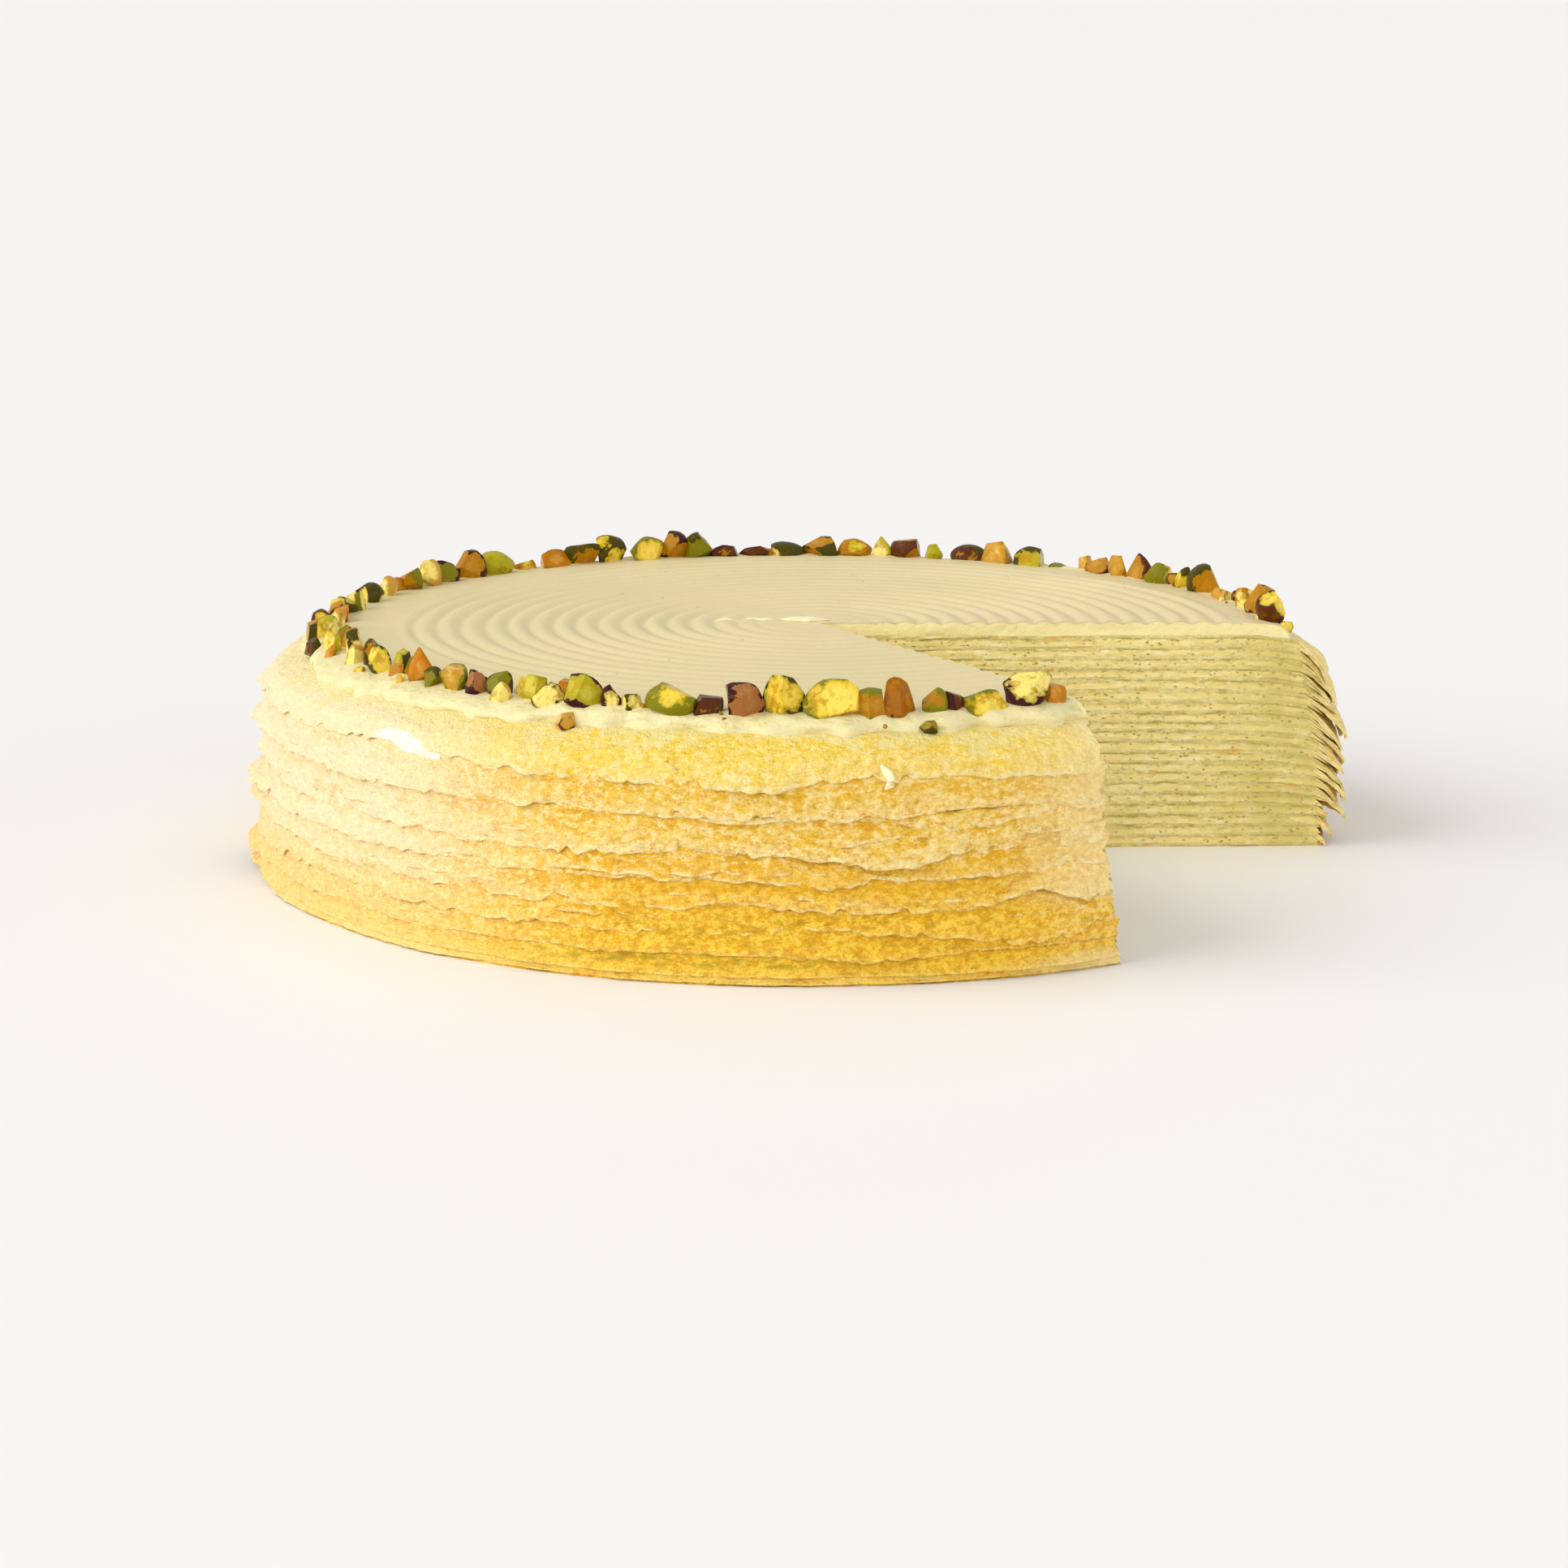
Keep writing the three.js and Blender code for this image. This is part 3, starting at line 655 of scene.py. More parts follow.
def add_cut_faces(shell, sheets, edge, wall_rows, wall_relief):
    """The two cut faces of a layer, which share the line at the knife's point."""
    part = (np.arange(wall_rows) + 1) / (wall_rows + 1)
    shared = None
    for side, end in ((0, 0), (1, -1)):
        columns = [np.hstack([sheet["point"], sheet["walls"][side], sheet["rim"][end]]) for sheet in sheets]
        points = np.vstack(shell.points)
        low, high = points[columns[0]], points[columns[1]]
        between = low[:, None] + (high - low)[:, None] * part[None, :, None]
        amount = wall_relief(side, reach_of(between), between[..., 2], part[None, :])
        inner = shell.add(pushed_out(between, side, amount), 2.0 + part)
        if shared is None:
            shared = inner[0]
        inner[0] = shared
        grid = np.column_stack([columns[0], inner, columns[1]])
        # A cell of this grid runs up first and then outwards, which faces out of the cake at the near cut
        shell.add_grid(grid, side == 0)
        shell.add_faces(grid[-1, :-1], edge[end], grid[-1, 1:], side == 1)


def moved_walls(points, side, groove=SEAM_DEPTH):
    """Points where two layers meet on a cut face follow its waves and lie in a groove."""
    reach = reach_of(points)
    uneven = np.clip(0.4 + 1.5 * noise(reach, points[..., 2], 17, 6, 330 + side), 0, 1.6)
    uneven = uneven + 0.6 * noise(reach, points[..., 2], 3.3, 1.2, 340 + side)
    sunk = groove * uneven * ease(reach / 4)
    return pushed_out(points, side, cut_wave(side, reach, points[..., 2]) - sunk)


def level_sheet(level, share, rim_radii):
    """One level surface: its point, its lines along the cut faces, and its rim out to the core's edge."""
    reaches = wall_reaches()
    under_crepe = level % LAYER_PITCH < CREPE_THICKNESS / 2
    groove = GROOVE_DEPTH if under_crepe else SEAM_DEPTH
    azimuth = azimuth_at(share, level)[:, None]
    radius = np.asarray(rim_radii, float)[None, :]
    reach = reach_to(radius, azimuth)
    inside = ease((core_radius(level) - radius) / 12)
    rippled = level_height(radius, level) + ripple(share[:, None], reach, level) * inside
    rim = points_at(reach, azimuth, rippled)
    walls = []
    for side, column in ((0, 0), (1, -1)):
        height = level + ripple(float(side), reaches, level)
        line = points_at(reaches, azimuth_at(float(side), level), height)
        walls.append(moved_walls(line, side, groove))
        rim[column] = moved_walls(rim[column], side, groove)
    tags = np.zeros(rim.shape[:2])
    tags[[0, -1]] = 2 if under_crepe else 3
    return {"point": np.array([*CUT_POINT, level]), "walls": walls, "rim": rim, "tags": tags}


def layer_sheets(levels, share):
    """The level surfaces below and above a crepe or a layer of cream."""
    sheets = []
    for level in levels:
        core = core_radius(level)
        sheets.append(level_sheet(level, share, [CAP_RADIUS, (CAP_RADIUS + core) / 2, core]))
    return sheets


def crepe_relief(side, reach, height, part):
    """The cut edge of a crepe is pressed flat by the knife, with pits."""
    seed = 400 + 50 * side
    pits = np.clip(noise(reach, height, 1.7, 2.3, seed) - 0.45, 0, 1)
    back = waves(reach, height, seed + 1, (0.14, 9, 2.3), (0.1, 1.6, 2)) - 0.9 * pits
    return cut_wave(side, reach, height) + back * ease(reach / 4)


def cream_relief(side, reach, height, part):
    """Cream stands out of the cut between two crepes, smeared by the knife in places."""
    seed = 500 + 50 * side
    out = 0.04 + waves(reach, height, seed, (0.1, 13, 2.3), (0.12, 3.1, 2.3))
    pits = np.clip(noise(reach, height, 1.3, 0.9, seed + 2) - 0.55, 0, 1)
    swollen = out * 4 * part * (1 - part) - SEAM_DEPTH - 0.8 * pits
    return cut_wave(side, reach, height) + swollen * ease(reach / 4)


def torn_ends(points, fallen, index):
    """The skirts end unevenly where the knife went through them, and are torn back at the near cut face."""
    for column in range(TORN_COLUMNS):
        weight = ease(1 - column / TORN_COLUMNS)
        for place, sign, seed in ((column, -1, 700 + index), (-1 - column, 1, 750 + index)):
            depth = points[place, :, 2]
            tear = 1.1 * noise(depth, 0, 2.3, 1, seed) + 0.8 * noise(depth, 0, 0.9, 1, seed + 25)
            grown = ease(fallen * 2.5)
            if sign == 1:
                tear = 0.75 * tear * grown - read_profile(NEAR_TEAR, depth)
                grown = ease(fallen * 12)
            azimuth = np.arctan2(points[place, :, 1], points[place, :, 0])
            points[place] += sideways(azimuth, sign * weight * tear * grown)
    return points


def crepe_shell(index):
    long = index in LONG_CREPES
    share = np.linspace(0, 1, (LONG_COLUMNS if long else SHORT_COLUMNS) + 1)
    level = index * LAYER_PITCH
    sheets = layer_sheets((level, level + CREPE_THICKNESS), share)
    skirt = Skirt(index, share)
    fallen, inside, outside = skirt.rows(LONG_ROWS if long else SHORT_ROWS)
    shown = skirt.shown(outside[1]) if long else fallen
    around = skirt.azimuth[:, None]
    for sheet, (radius, height) in zip(sheets, (inside, outside)):
        points = torn_ends(points_at(reach_to(radius.T, around), around, height.T), fallen[:, 0], index)
        sheet["rim"] = np.concatenate([sheet["rim"], points], axis=1)
        sheet["tags"] = np.concatenate([sheet["tags"], np.broadcast_to(shown.T, points.shape[:2])], axis=1)
    before, middle = ((sheets[1]["rim"][:, row] + sheets[0]["rim"][:, row]) / 2 for row in (-2, -1))
    onward = middle - before
    onward /= np.linalg.norm(onward, axis=1, keepdims=True)
    lip = middle + onward * LIP_THICKNESS * 0.4
    lip[:, 2] = np.maximum(lip[:, 2], FLOOR_GAP * 0.5)
    return layer_shell(sheets, lip, 1, crepe_relief)


def cream_shell(index):
    share = np.linspace(0, 1, SHORT_COLUMNS + 1)
    low = index * LAYER_PITCH + CREPE_THICKNESS
    high = (index + 1) * LAYER_PITCH
    azimuth = azimuth_at(share, (low + high) / 2)
    out = 0.35 + 0.3 * noise(EDGE_RADIUS * azimuth, index * 9.0, 7, 1, 90)
    squeezed = CREAM_SQUEEZE * (1 - ease(share * SIDE_LENGTH / LOOSE_LENGTH)) * freedom(low)
    radius = core_radius((low + high) / 2) + out + squeezed
    height = (level_height(core_radius(low), low) + level_height(core_radius(high), high)) / 2
    lip = points_at(reach_to(radius, azimuth), azimuth, height - SQUEEZE_SLOPE * squeezed)
    return layer_shell(layer_sheets((low, high), share), lip, 3, cream_relief)


def make_object(name, shell, material, replaced, body=None, sharp_deg=50):
    points, faces, tags = shell.arrays()
    mesh = bpy.data.meshes.new(name)
    mesh.vertices.add(len(points))
    mesh.vertices.foreach_set("co", (points * MM).ravel())
    mesh.loops.add(faces.size)
    mesh.loops.foreach_set("vertex_index", faces.ravel())
    mesh.polygons.add(len(faces))
    mesh.polygons.foreach_set("loop_start", np.arange(0, faces.size, 3))
    mesh.update(calc_edges=True)
    mesh.validate()
    mesh.attributes.new("zone", "FLOAT", "POINT").data.foreach_set("value", tags)
    if body:
        colours = mesh.attributes.new("body", "FLOAT_COLOR", "POINT")
        colours.data.foreach_set("color", np.tile(body, len(points)))
    mesh.shade_smooth()
    mesh.set_sharp_from_angle(angle=math.radians(sharp_deg))
    mesh.materials.append(material)
    piece = bpy.data.objects.new(name, mesh)
    bpy.context.scene.collection.objects.link(piece)
    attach(piece, "root")
    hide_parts(*replaced)
    return piece


# --- the top of cream ---


def comb_height(reach, azimuth):
    """Rounded ridges round the knife's point, plain where the comb pressed less, at the front and back."""
    place = reach * azimuth
    phase = math.pi * ((reach + 0.5 * noise(place, reach, 46, 9, 21)) / COMB_PITCH + 0.5)
    ridge = np.sqrt(np.sin(phase) ** 2 + 0.07) - 0.6
    pressed = COMB_FAINT + (1 - COMB_FAINT) * np.abs(np.cos(azimuth)) ** 1.3
    pressed = pressed * (1 + 0.25 * noise(place, reach, 19, 6, 22))
    return COMB_DEPTH * ridge * pressed * ease((COMB_END - reach) / 5) * ease((reach - 3) / 24)


def top_lumps(along, radius):
    """The cream at the rim was spread by hand, so it is uneven."""
    low = 0.1 * noise(along, radius, 34, 26, 31)
    lumps = waves(along, radius, 32, (0.45, 8.5, 5), (0.42, 3.4, 2.6)) + 0.55 * hill(radius, NUT_RADIUS, 2.4)
    return low + lumps * ease((radius - 97) / 6)


def top_height(reach, azimuth):
    radius = np.hypot(CUT_POINT[0] + reach * np.cos(azimuth), CUT_POINT[1] + reach * np.sin(azimuth))
    plain = read_profile(RIM_PROFILE, radius)
    return plain + comb_height(reach, azimuth) + top_lumps(EDGE_RADIUS * azimuth, radius)


def shoulder_path(skirt):
    """The top crepe's upper side from RIM_START outwards: radius, height and distance along, row by row."""
    flat_radius = np.linspace(RIM_START, skirt.core, 8)[:-1, None] + 0 * skirt.along
    falling = skirt.start - np.linspace(0, 5, 14)[:, None] + 0 * skirt.along
    radius = np.vstack([flat_radius, skirt.uneven_radius(falling)])
    height = np.vstack([level_height(flat_radius, skirt.level), falling])
    steps = np.hypot(np.diff(radius, axis=0), np.diff(height, axis=0))
    return radius, height, np.vstack([0 * skirt.along, np.cumsum(steps, axis=0)])


def cream_margin(skirt):
    """How far out the cream reaches over the top crepe, measured along it, and how it wanders."""
    margin = RIM_REACH + waves(skirt.along, 0, 61, (0.9, 23, 1), (1.2, 7.4, 1), (1.1, 3.6, 1))
    return np.maximum(margin + 2.6 * hill(np.degrees(skirt.azimuth), HEAPED_DEG, 22), 0.8)


def along_path(path, distance, wanted):
    """Radius or height at wanted distances, for each place along the side."""
    columns = [np.interp(wanted[:, n], distance[:, n], path[:, n]) for n in range(path.shape[1])]
    return np.stack(columns, axis=1)


def drape(share, start_height):
    """The cream beyond RIM_START, which lies on the top crepe: its inside and its outside, as grids."""
    skirt = Skirt(CREPE_COUNT - 1, share)
    path_radius, path_height, distance = shoulder_path(skirt)
    step = np.linspace(0, 1, DRAPE_ROWS + 1)[1:, None]
    wanted = step * cream_margin(skirt)[None, :]
    under_radius = along_path(path_radius, distance, wanted)
    under_height = along_path(path_height, distance, wanted) - CREAM_EDGE
    weights = [(1 - step) ** 2, 2 * step * (1 - step), step**2]
    radii = [RIM_START, under_radius[-1] + 0.1, under_radius[-1]]
    heights = [start_height, start_height - 0.9, under_height[-1] + CREAM_EDGE + 0.1]
    over_radius = sum(weight * radius for weight, radius in zip(weights, radii))
    over_height = sum(weight * height for weight, height in zip(weights, heights))
    lumps = waves(skirt.along, over_height, 65, (0.5, 6.5, 2), (0.45, 2.6, 1.4))
    over_radius = over_radius + lumps * 4 * step * (1 - 0.88 * step)
    around = skirt.azimuth[:, None]
    inside = points_at(reach_to(under_radius.T, around), around, under_height.T)
    return inside, points_at(reach_to(over_radius.T, around), around, over_height.T)


def top_cream_shell():
    share = np.linspace(0, 1, TOP_COLUMNS + 1)
    azimuth = azimuth_at(share, TOP_HEIGHT)[:, None]
    reaches = wall_reaches()[None, :]
    cap = points_at(reaches, azimuth, top_height(reaches, azimuth))
    radii = np.linspace(CAP_RADIUS, RIM_START, RIM_ROWS)
    reach = reach_to(radii[None, :], azimuth)
    rim = points_at(reach, azimuth, top_height(reach, azimuth))
    for side, column in ((0, 0), (1, -1)):
        cap[column] = moved_walls(cap[column], side)
        rim[column] = moved_walls(rim[column], side)
    start_height = top_height(reach_to(RIM_START, azimuth[:, 0]), azimuth[:, 0])
    lower = level_sheet(TOP_CREPE_LEVEL, share, radii)
    point = np.array([*CUT_POINT, float(top_height(0.0, 0.0))])
    upper = {"point": point, "walls": [], "cap": cap, "rim": rim}
    for sheet, draped in zip((lower, upper), drape(share, start_height)):
        sheet["rim"] = np.concatenate([sheet["rim"], draped], axis=1)
        outwards = np.arange(sheet["rim"].shape[1]) / (RIM_ROWS - 1)
        tags = np.clip(outwards - 0.25, 0, 0.75) / 0.75
        sheet["tags"] = np.broadcast_to(tags, sheet["rim"].shape[:2]).copy()
        sheet["tags"][[0, -1]] = 2.5
    lip = (upper["rim"][:, -1] + lower["rim"][:, -1]) / 2 - np.array([0, 0, 0.03])
    return layer_shell([lower, upper], lip, 3, cream_relief)


# --- loose cream: smears on the side and curls ---


def outermost(azimuth, height):
    """The radius of the outermost skirt at rows of heights, for each azimuth."""
    share = (np.degrees(azimuth) - FAR_CUT_DEG) / (NEAR_CUT_DEG - FAR_CUT_DEG)
    found = np.zeros_like(height)
    for index in LONG_CREPES:
        skirt = Skirt(index, share)
        covered = (height < skirt.start) & (height > skirt.tip_height - 0.3)
        found = np.maximum(found, skirt.dressed_radius(height) * covered)
    return found


def edge_ring(ids):
    """The numbers round the edge of a grid, closed."""
    return np.concatenate([ids[0, :-1], ids[:-1, -1], ids[-1, :0:-1], ids[::-1, 0]])


def add_patch(shell, outer, inner, tag):
    """A closed patch from two grids, whose first axis runs round the cake and whose second runs down."""
    outer_ids = shell.add(outer, tag)
    inner_ids = shell.add(inner, tag)
    shell.add_grid(outer_ids)
    shell.add_grid(inner_ids, True)
    outer_ring = edge_ring(outer_ids)
    inner_ring = edge_ring(inner_ids)
    shell.add_faces(outer_ring[1:], outer_ring[:-1], inner_ring[:-1])
    shell.add_faces(outer_ring[1:], inner_ring[:-1], inner_ring[1:])


def add_smear(shell, item, smear):
    """Cream wiped over the skirts, thick in its middle, with an uneven outline."""
    azimuth_deg, height_middle, half_width, half_height, slope, thickness, white = smear
    steps = np.linspace(-1, 1, SMEAR_STEPS)
    across, down = np.meshgrid(steps, -steps, indexing="ij")
    azimuth = math.radians(azimuth_deg) + across * half_width / EDGE_RADIUS
    height = height_middle + down * half_height + across * slope
    base = outermost(azimuth[:, 0], height.T).T
    outline = 1 + 0.3 * noise(across * 4, down * 4 + 20 * item, 1.7, 1.7, 81)
    outline = outline + 0.2 * noise(across * 9, down * 9, 1.7, 1.7, 82)
    swell = np.sqrt(np.clip(1 - (across**2 + down**2) / outline**2, 0, 1))
    lumps = 1 + 0.35 * noise(across * 7, down * 5, 1.7, 1.7, 83 + item)
    outer = base + (thickness + SMEAR_SUNK) * swell * lumps - SMEAR_SUNK
    inner = base - SMEAR_SUNK - 0.25
    grids = [round_axis(np.minimum(radius, SIDE_LIMIT), azimuth, height) for radius in (outer, inner)]
    add_patch(shell, *grids, white)


def add_curl(shell, path, widths, heights):
    """A tapering roll of cream along a path, with a pole at each end."""
    along = np.gradient(path, axis=0)
    along /= np.linalg.norm(along, axis=1, keepdims=True)
    side = np.cross(along, [0, 0, 1])
    side /= np.linalg.norm(side, axis=1, keepdims=True)
    up = np.cross(side, along)
    angle = np.linspace(0, 2 * math.pi, CURL_SIDES, endpoint=False)[:, None]
    rings = path[:, None] + side[:, None] * np.cos(angle) * widths[:, None, None] / 2
    rings = rings + up[:, None] * np.sin(angle) * heights[:, None, None] / 2
    start = shell.add(path[:1] - along[:1] * 0.15, CURL_WHITE)[0]
    end = shell.add(path[-1:] + along[-1:] * 0.15, CURL_WHITE)[0]
    ids = shell.add(rings, CURL_WHITE)
    ids = np.concatenate([ids, ids[:, :1]], axis=1)
    shell.add_grid(ids, True)
    shell.add_faces(start, ids[0, :-1], ids[0, 1:], True)
    shell.add_faces(end, ids[-1, 1:], ids[-1, :-1], True)


def add_comb_tail(shell, tail):
    """Where the comb was lifted it left a curl of cream lying on the top."""
    x, y, length, width, height, bend = tail
    step = np.linspace(-1, 1, 15)
    taper = np.clip(1 - np.abs(step) ** 2.2, 0.05, 1)
    path = np.stack([x + length / 2 * step, y + bend * step**2 - 0.4 * step, 0 * step], axis=1)
    azimuth = np.arctan2(path[:, 1] - CUT_POINT[1], path[:, 0] - CUT_POINT[0])
    path[:, 2] = top_height(reach_of(path), azimuth) + 0.12 * height
    add_curl(shell, path, width * taper * (1 + 0.2 * np.sin(7 * step)), height * taper)


def add_side_curl(shell, curl):
    """A short flap of cream that stands out from the side."""
    azimuth_deg, low, high, width, out = curl
    step = np.linspace(0, 1, 11)
    height = low + (high - low) * step
    azimuth = math.radians(azimuth_deg) + 0.008 * np.sin(math.pi * step * 1.3)
    base = outermost(azimuth[5:6], height[:, None])[:, 0]
    radius = np.minimum(base + 0.2 + out * np.sin(math.pi * step) ** 0.7, SIDE_LIMIT)
    taper = np.clip(np.sin(math.pi * (0.08 + 0.84 * step)), 0.1, 1)
    add_curl(shell, round_axis(radius, azimuth, height), 0.6 * width * taper, width * taper)


def loose_cream_shell():
    shell = Shell()
    for item, smear in enumerate(SMEARS):
        add_smear(shell, item, smear)
    for tail in COMB_TAILS:
        add_comb_tail(shell, tail)
    for curl in SIDE_CURLS:
        add_side_curl(shell, curl)
    return shell


# --- materials ---


class Signal:
    """A value or a colour that varies over a material. Values multiply and add like numbers."""

    def __init__(self, paint, socket):
        self.paint = paint
        self.socket = socket

    def joined(self, other, operation):
        return self.paint.signal("ShaderNodeMath", 0, {0: self, 1: other}, operation=operation)

    def __add__(self, other):
        return self.joined(other, "ADD")

    def __mul__(self, other):
        return self.joined(other, "MULTIPLY")

    def larger(self, other):
        return self.joined(other, "MAXIMUM")

    def ramp(self, low, high, first=0, last=1):
        """Maps a range to another one, smoothly and without going past its ends."""
        inputs = {"Value": self, "From Min": low, "From Max": high, "To Min": first, "To Max": last}
        return self.paint.signal("ShaderNodeMapRange", "Result", inputs, interpolation_type="SMOOTHSTEP")

    def within(self, start, full, hold, end):
        """Rises from 0 to 1 between start and full, and falls again between hold and end."""
        return self.ramp(start, full) * self.ramp(hold, end, 1, 0)


class Paint:
    """Builds the node tree of one procedural material. Sizes and places are in millimetres."""

    def __init__(self, name):
        self.material = bpy.data.materials.new(name)
        self.material.use_nodes = True
        self.tree = self.material.node_tree
        self.shader = self.tree.nodes["Principled BSDF"]
        self.place = self.signal("ShaderNodeTexCoord", "Object")

    def join(self, source, target):
        """Gives an input a signal, a colour (a tuple of 3), or else a number or a vector (a list)."""
        if isinstance(source, Signal):
            self.tree.links.new(source.socket, target)
        elif isinstance(source, tuple):
            target.default_value = (*source, 1)
        else:
            target.default_value = source

    def signal(self, kind, output, inputs=(), **settings):
        """One output of a new node with these inputs and settings."""
        made = self.tree.nodes.new(kind)
        for name, value in settings.items():
            setattr(made, name, value)
        for name, source in dict(inputs).items():
            self.join(source, made.inputs[name])
        return Signal(self, made.outputs[output])

    def attribute(self, name, output="Fac"):
        return self.signal("ShaderNodeAttribute", output, attribute_name=name)

    def stretched(self, size, flat=1):
        """The place on the object counted in features of this size, flattened by a factor in height."""
        scale = [1 / size / MM, 1 / size / MM, flat / size / MM]
        return self.signal("ShaderNodeMapping", "Vector", {"Vector": self.place, "Scale": scale})

    def axes(self):
        place = self.stretched(1)
        return [self.signal("ShaderNodeSeparateXYZ", axis, {0: place}) for axis in range(3)]

    def clouds(self, size, detail=2, rough=0.5, flat=1):
        """Noise from 0 to 1 with features of this size."""
        inputs = {"Vector": self.stretched(size, flat), "Scale": 1, "Detail": detail, "Roughness": rough}
        return self.signal("ShaderNodeTexNoise", "Fac", inputs)

    def cells(self, size, warp=0, flat=1, feature="F1"):
        """Distance from the middles or walls of bubbles of this size, bent by a warp."""
        place = self.stretched(size, flat)
        if warp:
            drift = self.signal("ShaderNodeTexNoise", "Color", {"Vector": place, "Scale": 0.8})
            moved = {0: drift, 1: [warp, warp, warp], 2: place}
            place = self.signal("ShaderNodeVectorMath", "Vector", moved, operation="MULTIPLY_ADD")
        inputs = {"Vector": place, "Scale": 1}
        return self.signal("ShaderNodeTexVoronoi", "Distance", inputs, feature=feature)

    def mix(self, share, first, second):
        inputs = {"Factor": share, "A": first, "B": second}
        return self.signal("ShaderNodeMix", "Result", inputs, data_type="RGBA")

    def coated(self, colour, *coats):
        """Lays colours over one another, each with its share."""
        for share, coat in coats:
            colour = self.mix(share, colour, coat)
        return colour

    def finish(self, colour, height, depth, roughness, soft=0, reach=1.0, tint=(1.0, 0.6, 0.3), shine=0.3):
        """Depth is that of the relief, and reach how far light goes under the surface."""
        bump = self.signal("ShaderNodeBump", "Normal", {"Distance": depth * MM, "Height": height})
        settings = {
            "Base Color": colour, "Roughness": roughness, "Normal": bump,
            "Specular IOR Level": shine, "Subsurface Weight": soft, "Subsurface Scale": reach * MM,
            "Subsurface Radius": list(tint),
        }
        for name, source in settings.items():
            self.join(source, self.shader.inputs[name])
        return self.material


class CrepePaint(Paint):
    """Spongy egg crepe: gold in painted shade under the lip above, drier towards its own, laced with pale
    bubbles.

    The zone goes from 0 to 1 down the part that shows, and from 2 to 3 up a cut edge. The body attribute is
    the colour of one crepe, and its alpha how dry that crepe is towards its lip."""

    def __init__(self):
        super().__init__("crepe_golden")
        self.across, self.deep, self.height = self.axes()
        self.zone = self.attribute("zone")
        self.blotches = self.clouds(4.5, 3, 0.6, 1.6)
        self.sponge = self.clouds(1.6, 4, 0.72, 1.5)
        self.wander = self.zone + self.blotches.ramp(0.3, 0.7, -0.28, 0.28)
        self.front = self.deep.ramp(-50, 0, 1, 0)
        self.buttery = self.across.within(-60, -25, 40, 54) * self.height.within(1, 5, 18, 26) * self.front

    def ground(self):
        """A crepe's own colour, golden in painted shade under the lip above, browned in bands and drier at
        its lip.
        """
        # Painted shade: deeper gold just below the lip above, where that lip shades this crepe
        shade_under_lip = self.wander.ramp(-0.05, 0.45, 0.85, 0) * self.height.ramp(36, 42, 1, 0)
        browned = self.clouds(7.5, 3, 0.62, 2).ramp(0.53, 0.64, 0, 0.75) * self.height.ramp(34, 40, 1, 0.2)
        bands = self.clouds(9, 5, 0.7, 5).ramp(0.5, 0.58, 0, 0.7) * self.across.ramp(-80, -30)
        bands = bands * self.height.ramp(32, 38, 1, 0)
        amber = self.buttery * self.blotches.ramp(0.36, 0.56, 0.3, 1)
        dry = self.wander.ramp(0.35, 0.9) * self.attribute("body", "Alpha")
        dry = dry * (self.sponge.ramp(0.36, 0.56, 0.45, 1) * self.height.ramp(2, 18, 0.55, 1))
        dry = dry * self.buttery.ramp(0, 1, 1, 0.6)
        return self.coated(
            self.attribute("body", "Color"),
            (shade_under_lip, CREPE_GOLD), (browned, CREPE_DEEP), (bands, CREPE_GOLD), (amber, CREPE_AMBER),
            (dry, CREPE_BEIGE),
        )

    def lace(self, colour):
        """Bubbles with pale walls, whitened at the left by painted glare of the window light, over darker
        pores and painted shadows under the lips.
        """
        sunny = self.sponge.ramp(0.46, 0.56, 0, 0.9) * self.height.ramp(12, 26, 1, 0.2)
        walls = self.cells(1.6, 1.6, 1.6, "DISTANCE_TO_EDGE").ramp(0, 0.16, 0.5, 0)
        walls = walls * self.clouds(5, 3, 0.6, 1.4).ramp(0.46, 0.6)
        threads = walls.larger(self.sponge.ramp(0.5, 0.6))
        threads = threads * self.buttery.ramp(0, 1, 0.85, 0.2) * self.height.ramp(0, 20, 0.25, 1)
        # Painted light: the left side, towards the window light, is whitened as if washed out by its glare
        white = self.across.ramp(-90, -40, 0.72, 0) * self.height.ramp(4, 24, 0.35, 1)
        white = white * self.wander.ramp(-0.1, 0.5, 0.7, 1)
        pores = self.cells(1.4, 0.9, 1.3).ramp(0.12, 0.3, 0.8, 0) * self.clouds(6).ramp(0.45, 0.58)
        pores = pores.larger(self.sponge.ramp(0.34, 0.46, 0.75, 0))
        pores = pores * self.across.ramp(-80, -10, 0.1, 1) * self.height.ramp(34, 41, 1, 0.45)
        # Painted shadow: darker just below each lip above, in the gap it leaves
        shadows_under_lips = self.zone.ramp(0, 0.2, 0.7, 0) * self.clouds(2.6, 4, 0.7, 3).ramp(0.46, 0.58)
        shadows_under_lips = shadows_under_lips * self.across.ramp(-75, -30, 0.25, 1) * self.height.ramp(32, 38, 1, 0)
        return self.coated(
            colour, (sunny, CREPE_SUNNY), (threads, CREPE_PALE), (white, CREPE_GLARE_WHITE), (pores, CREPE_PORE),
            (shadows_under_lips, CREPE_LIP_SHADOW),
        )

    def places(self, colour):
        """What only some places have: cream near the top, a painted olive shadow in the gap at the foot, pale
        ends, painted light in the hollows at the near cut, a painted glow on the loose fringe, and pale lips.
        """
        level = self.height + self.clouds(21).ramp(0.3, 0.7, -2, 2)
        creamy = self.clouds(3.4, 4, 0.68, 2.6) + level.ramp(41, 46.2, -0.2, 0.1)
        # Painted shadow: an olive shade in the gap between the lowest skirts at the front
        olive = self.across.within(-65, -40, -5, 30) * self.height.within(3, 4, 5, 6.5)
        olive = olive * self.clouds(4, 4, 0.65, 3.5).ramp(0.46, 0.6) * self.front * 0.85
        near_end = self.across.ramp(36, 58, 0, 0.55) * self.deep.ramp(-90, -70, 1, 0)
        near_end = near_end * self.height.within(2, 5, 12.5, 15.5).ramp(0, 1, 1, 0.1)
